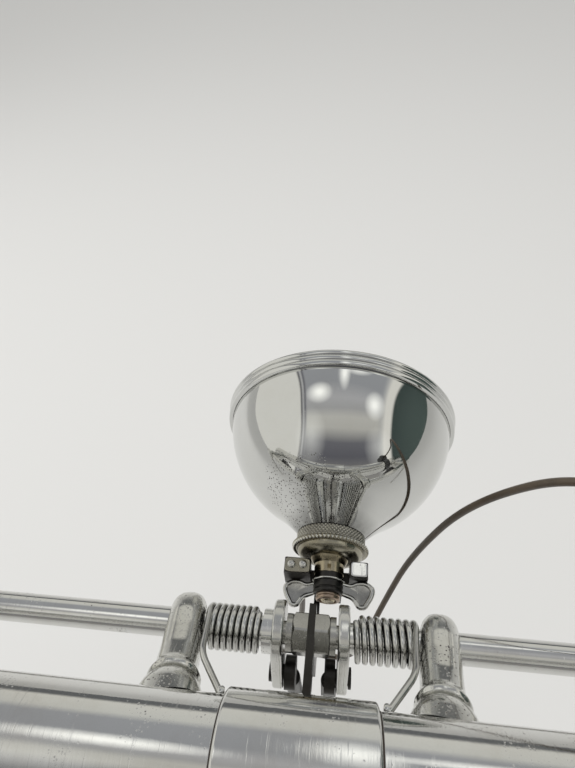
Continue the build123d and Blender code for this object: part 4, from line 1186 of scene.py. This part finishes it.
def gripMesh(name, side, g):
    sweep, drop = math.radians(g["sweep"]), math.radians(g["drop"])
    along = np.array([math.cos(sweep), -math.sin(sweep), -math.sin(drop)])
    along /= np.linalg.norm(along)
    origin = np.array([g["corner"], barCentre.y, barCentre.z]) + along * (g["tail"] - g["inset"])
    up = np.array([0, 0, 1.0]) - along * along[2]
    up /= np.linalg.norm(up)
    mirror = np.array([side, 1, 1])
    # The body swells as a parabola; each rib's groove is a smooth dip that repeats along it.
    length, face, end = g["length"], g["flange"], g["endLength"]
    s = np.linspace(face, length - end, 220)
    share = (s - face) / (length - face)
    comeIn, goOut = g["ribFades"]
    ribZone = np.clip((s - face - g["ribStart"]) / comeIn, 0, 1) * np.clip((length - end - s) / goOut, 0, 1)
    wave = np.abs(np.sin(math.pi * g["ribs"] * (s - end) / (length - 2 * end)))**g["ribFlatness"]
    body = g["radius"] + g["swell"] * (1 - (2 * share - 1)**2) - g["ribDepth"] * (1 - wave) * ribZone
    spread, begin, finish = g["foot"]
    head = roundCorners([(g["bore"], g["inset"]), (g["bore"], 0), (g["flangeRadius"], 0),
                         (g["flangeRadius"], face - g["flangeEdge"]), (body[0] + spread, face - begin),
                         (body[0], face + finish)], g["headRounding"])
    tail = roundCorners([(body[-1], length - end), *((radius, length - back) for radius, back in g["end"]),
                         (0, length)], g["endRounding"], 8)
    profile = np.concatenate([[(0, g["inset"])], head, np.stack([body, s], axis=-1)[1:-1], tail])
    angle = fullTurn(240)[:, None]
    zone = np.zeros(len(profile))
    zone[1 + len(head):1 + len(head) + len(s) - 2] = (wave * ribZone)[1:-1]
    radius = profile[None, :, 0] - g["fluteDepth"] * zone * (0.5 - 0.5 * np.cos(g["flutes"] * angle))
    points = (origin + radius[..., None] * (np.cos(angle)[..., None] * up
                                            + np.sin(angle)[..., None] * np.cross(along, up))
              + (profile[None, :, 1] + 0 * angle)[..., None] * along)
    return gridMesh(name, points * mirror, wrapU=True, sharp=60)


for label, side in (("left", -1), ("right", 1)):
    name = f"{label}Grip"
    addPiece(name, gripMesh(name, side, grip), "frame", "rubber", "gripRubber", f"grip_{label}")
print("grips made")

# Studio: a pale floor, a sky with a bright left side and a dark right side, and soft lamps.
studio = {
    "floorHeight": -0.42,
    "floorSize": 40.0,
    "floorColour": (0.66, 0.655, 0.64, 1),
    "floorRoughness": 0.8,
    "wallColour": (0.80, 0.80, 0.79),
    "glowColour": (1.5, 1.5, 1.44),  # of the soft bright patches
    # Across: place from left to right, colour, and how far it covers the arch of sky behind it.
    "sideStops": [
        (0.0, (0.86, 0.85, 0.80), 1), (0.185, (0.86, 0.85, 0.80), 1), (0.196, (0.10, 0.10, 0.11), 1),
        (0.208, (0.60, 0.60, 0.60), 1), (0.220, (0.14, 0.14, 0.16), 1), (0.238, (0.40, 0.40, 0.42), 0),
        (0.80, (0.36, 0.38, 0.40), 0), (0.850, (0.90, 0.88, 0.82), 1), (0.885, (0.90, 0.88, 0.82), 1),
        (0.897, (0.06, 0.08, 0.075), 1), (1.0, (0.09, 0.12, 0.11), 1),
    ],
    # Over the top: place from the front horizon to the rear one, and colour.
    "archStops": [
        (0.0, (0.15, 0.155, 0.16)), (0.045, (0.15, 0.155, 0.16)), (0.075, (0.76, 0.75, 0.70)),
        (0.20, (0.70, 0.70, 0.66)), (0.26, (0.40, 0.41, 0.43)), (0.42, (0.38, 0.39, 0.41)),
        (0.51, (0.52, 0.52, 0.53)), (0.57, (0.46, 0.46, 0.46)), (0.62, (0.62, 0.61, 0.57)),
        (0.68, (0.58, 0.57, 0.53)), (0.76, (0.18, 0.18, 0.20)), (0.84, (0.14, 0.14, 0.16)),
        (1.0, (0.35, 0.34, 0.32)),
    ],
    # Soft bright patches: direction, size along each axis, strength.
    "patches": [
        ((0.05, 0.42, 0.90), (0.10, 0.36, 0.40), 0.9), ((-0.34, 0.06, 0.94), (0.22, 0.20, 0.40), 0.95),
        ((0.54, -0.08, 0.84), (0.16, 0.26, 0.40), 0.9), ((0.26, 0.50, 0.83), (0.22, 0.12, 0.40), 0.8),
        ((-0.46, -0.60, 0.65), (0.26, 0.50, 0.50), 0.35), ((0.62, -0.62, 0.48), (0.22, 0.30, 0.40), 0.30),
    ],
    "patchCore": 0.15,  # share of a patch that is at full strength
    "skyStrength": 0.95,
    "lamps": [
        # name, place, aim, width, depth, power
        ("roofLamp", (0.25, 0.35, 1.7), (0, 0.1, 0.05), 1.1, 1.1, 14),
        ("wallLamp", (-1.5, 0.4, 0.7), (0, 0.1, 0.05), 1.4, 1.2, 8),
    ],
}


def rampStops(ramp, stops):
    while len(ramp.color_ramp.elements) < len(stops):
        ramp.color_ramp.elements.new(0.5)
    for element, (place, colour, *cover) in zip(ramp.color_ramp.elements, stops):
        element.position, element.color = place, (*colour, cover[0] if cover else 1)


def makeSky(s):
    world = bpy.data.worlds.new("studioSky")
    world.use_nodes = True
    tree = world.node_tree
    coords = tree.nodes.new("ShaderNodeTexCoord").outputs["Generated"]
    parts = tree.nodes.new("ShaderNodeSeparateXYZ")
    tree.links.new(coords, parts.inputs[0])
    side, arch = (tree.nodes.new("ShaderNodeValToRGB") for _ in range(2))
    rampStops(side, s["sideStops"])
    rampStops(arch, s["archStops"])
    tree.links.new(addRange(tree, parts.outputs["X"], -1.0, 1.0), side.inputs["Fac"])
    angle = addMath(tree, "ARCTAN2", parts.outputs["Z"], parts.outputs["Y"])
    tree.links.new(addMath(tree, "DIVIDE", angle, math.pi, clamp=True), arch.inputs["Fac"])
    colour = mixColours(tree, side.outputs["Alpha"], arch.outputs["Color"], side.outputs["Color"])
    for direction, size, strength in s["patches"]:
        # Distance from the patch's middle, in patch sizes, faded smoothly to nothing at one.
        offset = addVectorMath(tree, "SUBTRACT", coords, direction)
        away = addVectorMath(tree, "LENGTH", addVectorMath(tree, "DIVIDE", offset, size))
        glow = addRange(tree, away, 1.0, s["patchCore"], 0.0, strength)
        colour = mixColours(tree, glow, colour, s["glowColour"])
    # Metal shows these shapes; the camera sees a plain pale wall, and the floor is lit by one.
    path = tree.nodes.new("ShaderNodeLightPath").outputs
    colour = mixColours(tree, path["Is Glossy Ray"], s["wallColour"], colour)
    background = tree.nodes["Background"]
    tree.links.new(colour, background.inputs["Color"])
    background.inputs["Strength"].default_value = s["skyStrength"]
    bpy.context.scene.world = world


def makeStudio(s):
    half, z = s["floorSize"] / 2, s["floorHeight"]
    mesh = bpy.data.meshes.new("floor")
    corners = [(-half, -half, z), (half, -half, z), (half, half, z), (-half, half, z)]
    mesh.from_pydata(corners, [], [(0, 1, 2, 3)])
    floor = bpy.data.objects.new("floor", mesh)
    bpy.context.scene.collection.objects.link(floor)
    material = bpy.data.materials.new("paleFloor")
    material.use_nodes = True
    shader = material.node_tree.nodes["Principled BSDF"]
    shader.inputs["Base Color"].default_value = s["floorColour"]
    shader.inputs["Roughness"].default_value = s["floorRoughness"]
    mesh.materials.append(material)
    makeSky(s)
    for name, place, aim, width, depth, power in s["lamps"]:
        data = bpy.data.lights.new(name, "AREA")
        data.shape, data.size, data.size_y, data.energy = "RECTANGLE", width, depth, power
        lamp = bpy.data.objects.new(name, data)
        bpy.context.scene.collection.objects.link(lamp)
        lamp.location = place
        lamp.rotation_euler = (Vector(aim) - Vector(place)).to_track_quat("-Z", "Y").to_euler()
        lamp.visible_glossy = False


makeStudio(studio)
bpy.context.scene.view_settings.view_transform = "Standard"
print("studio made")

bpy.context.view_layer.update()
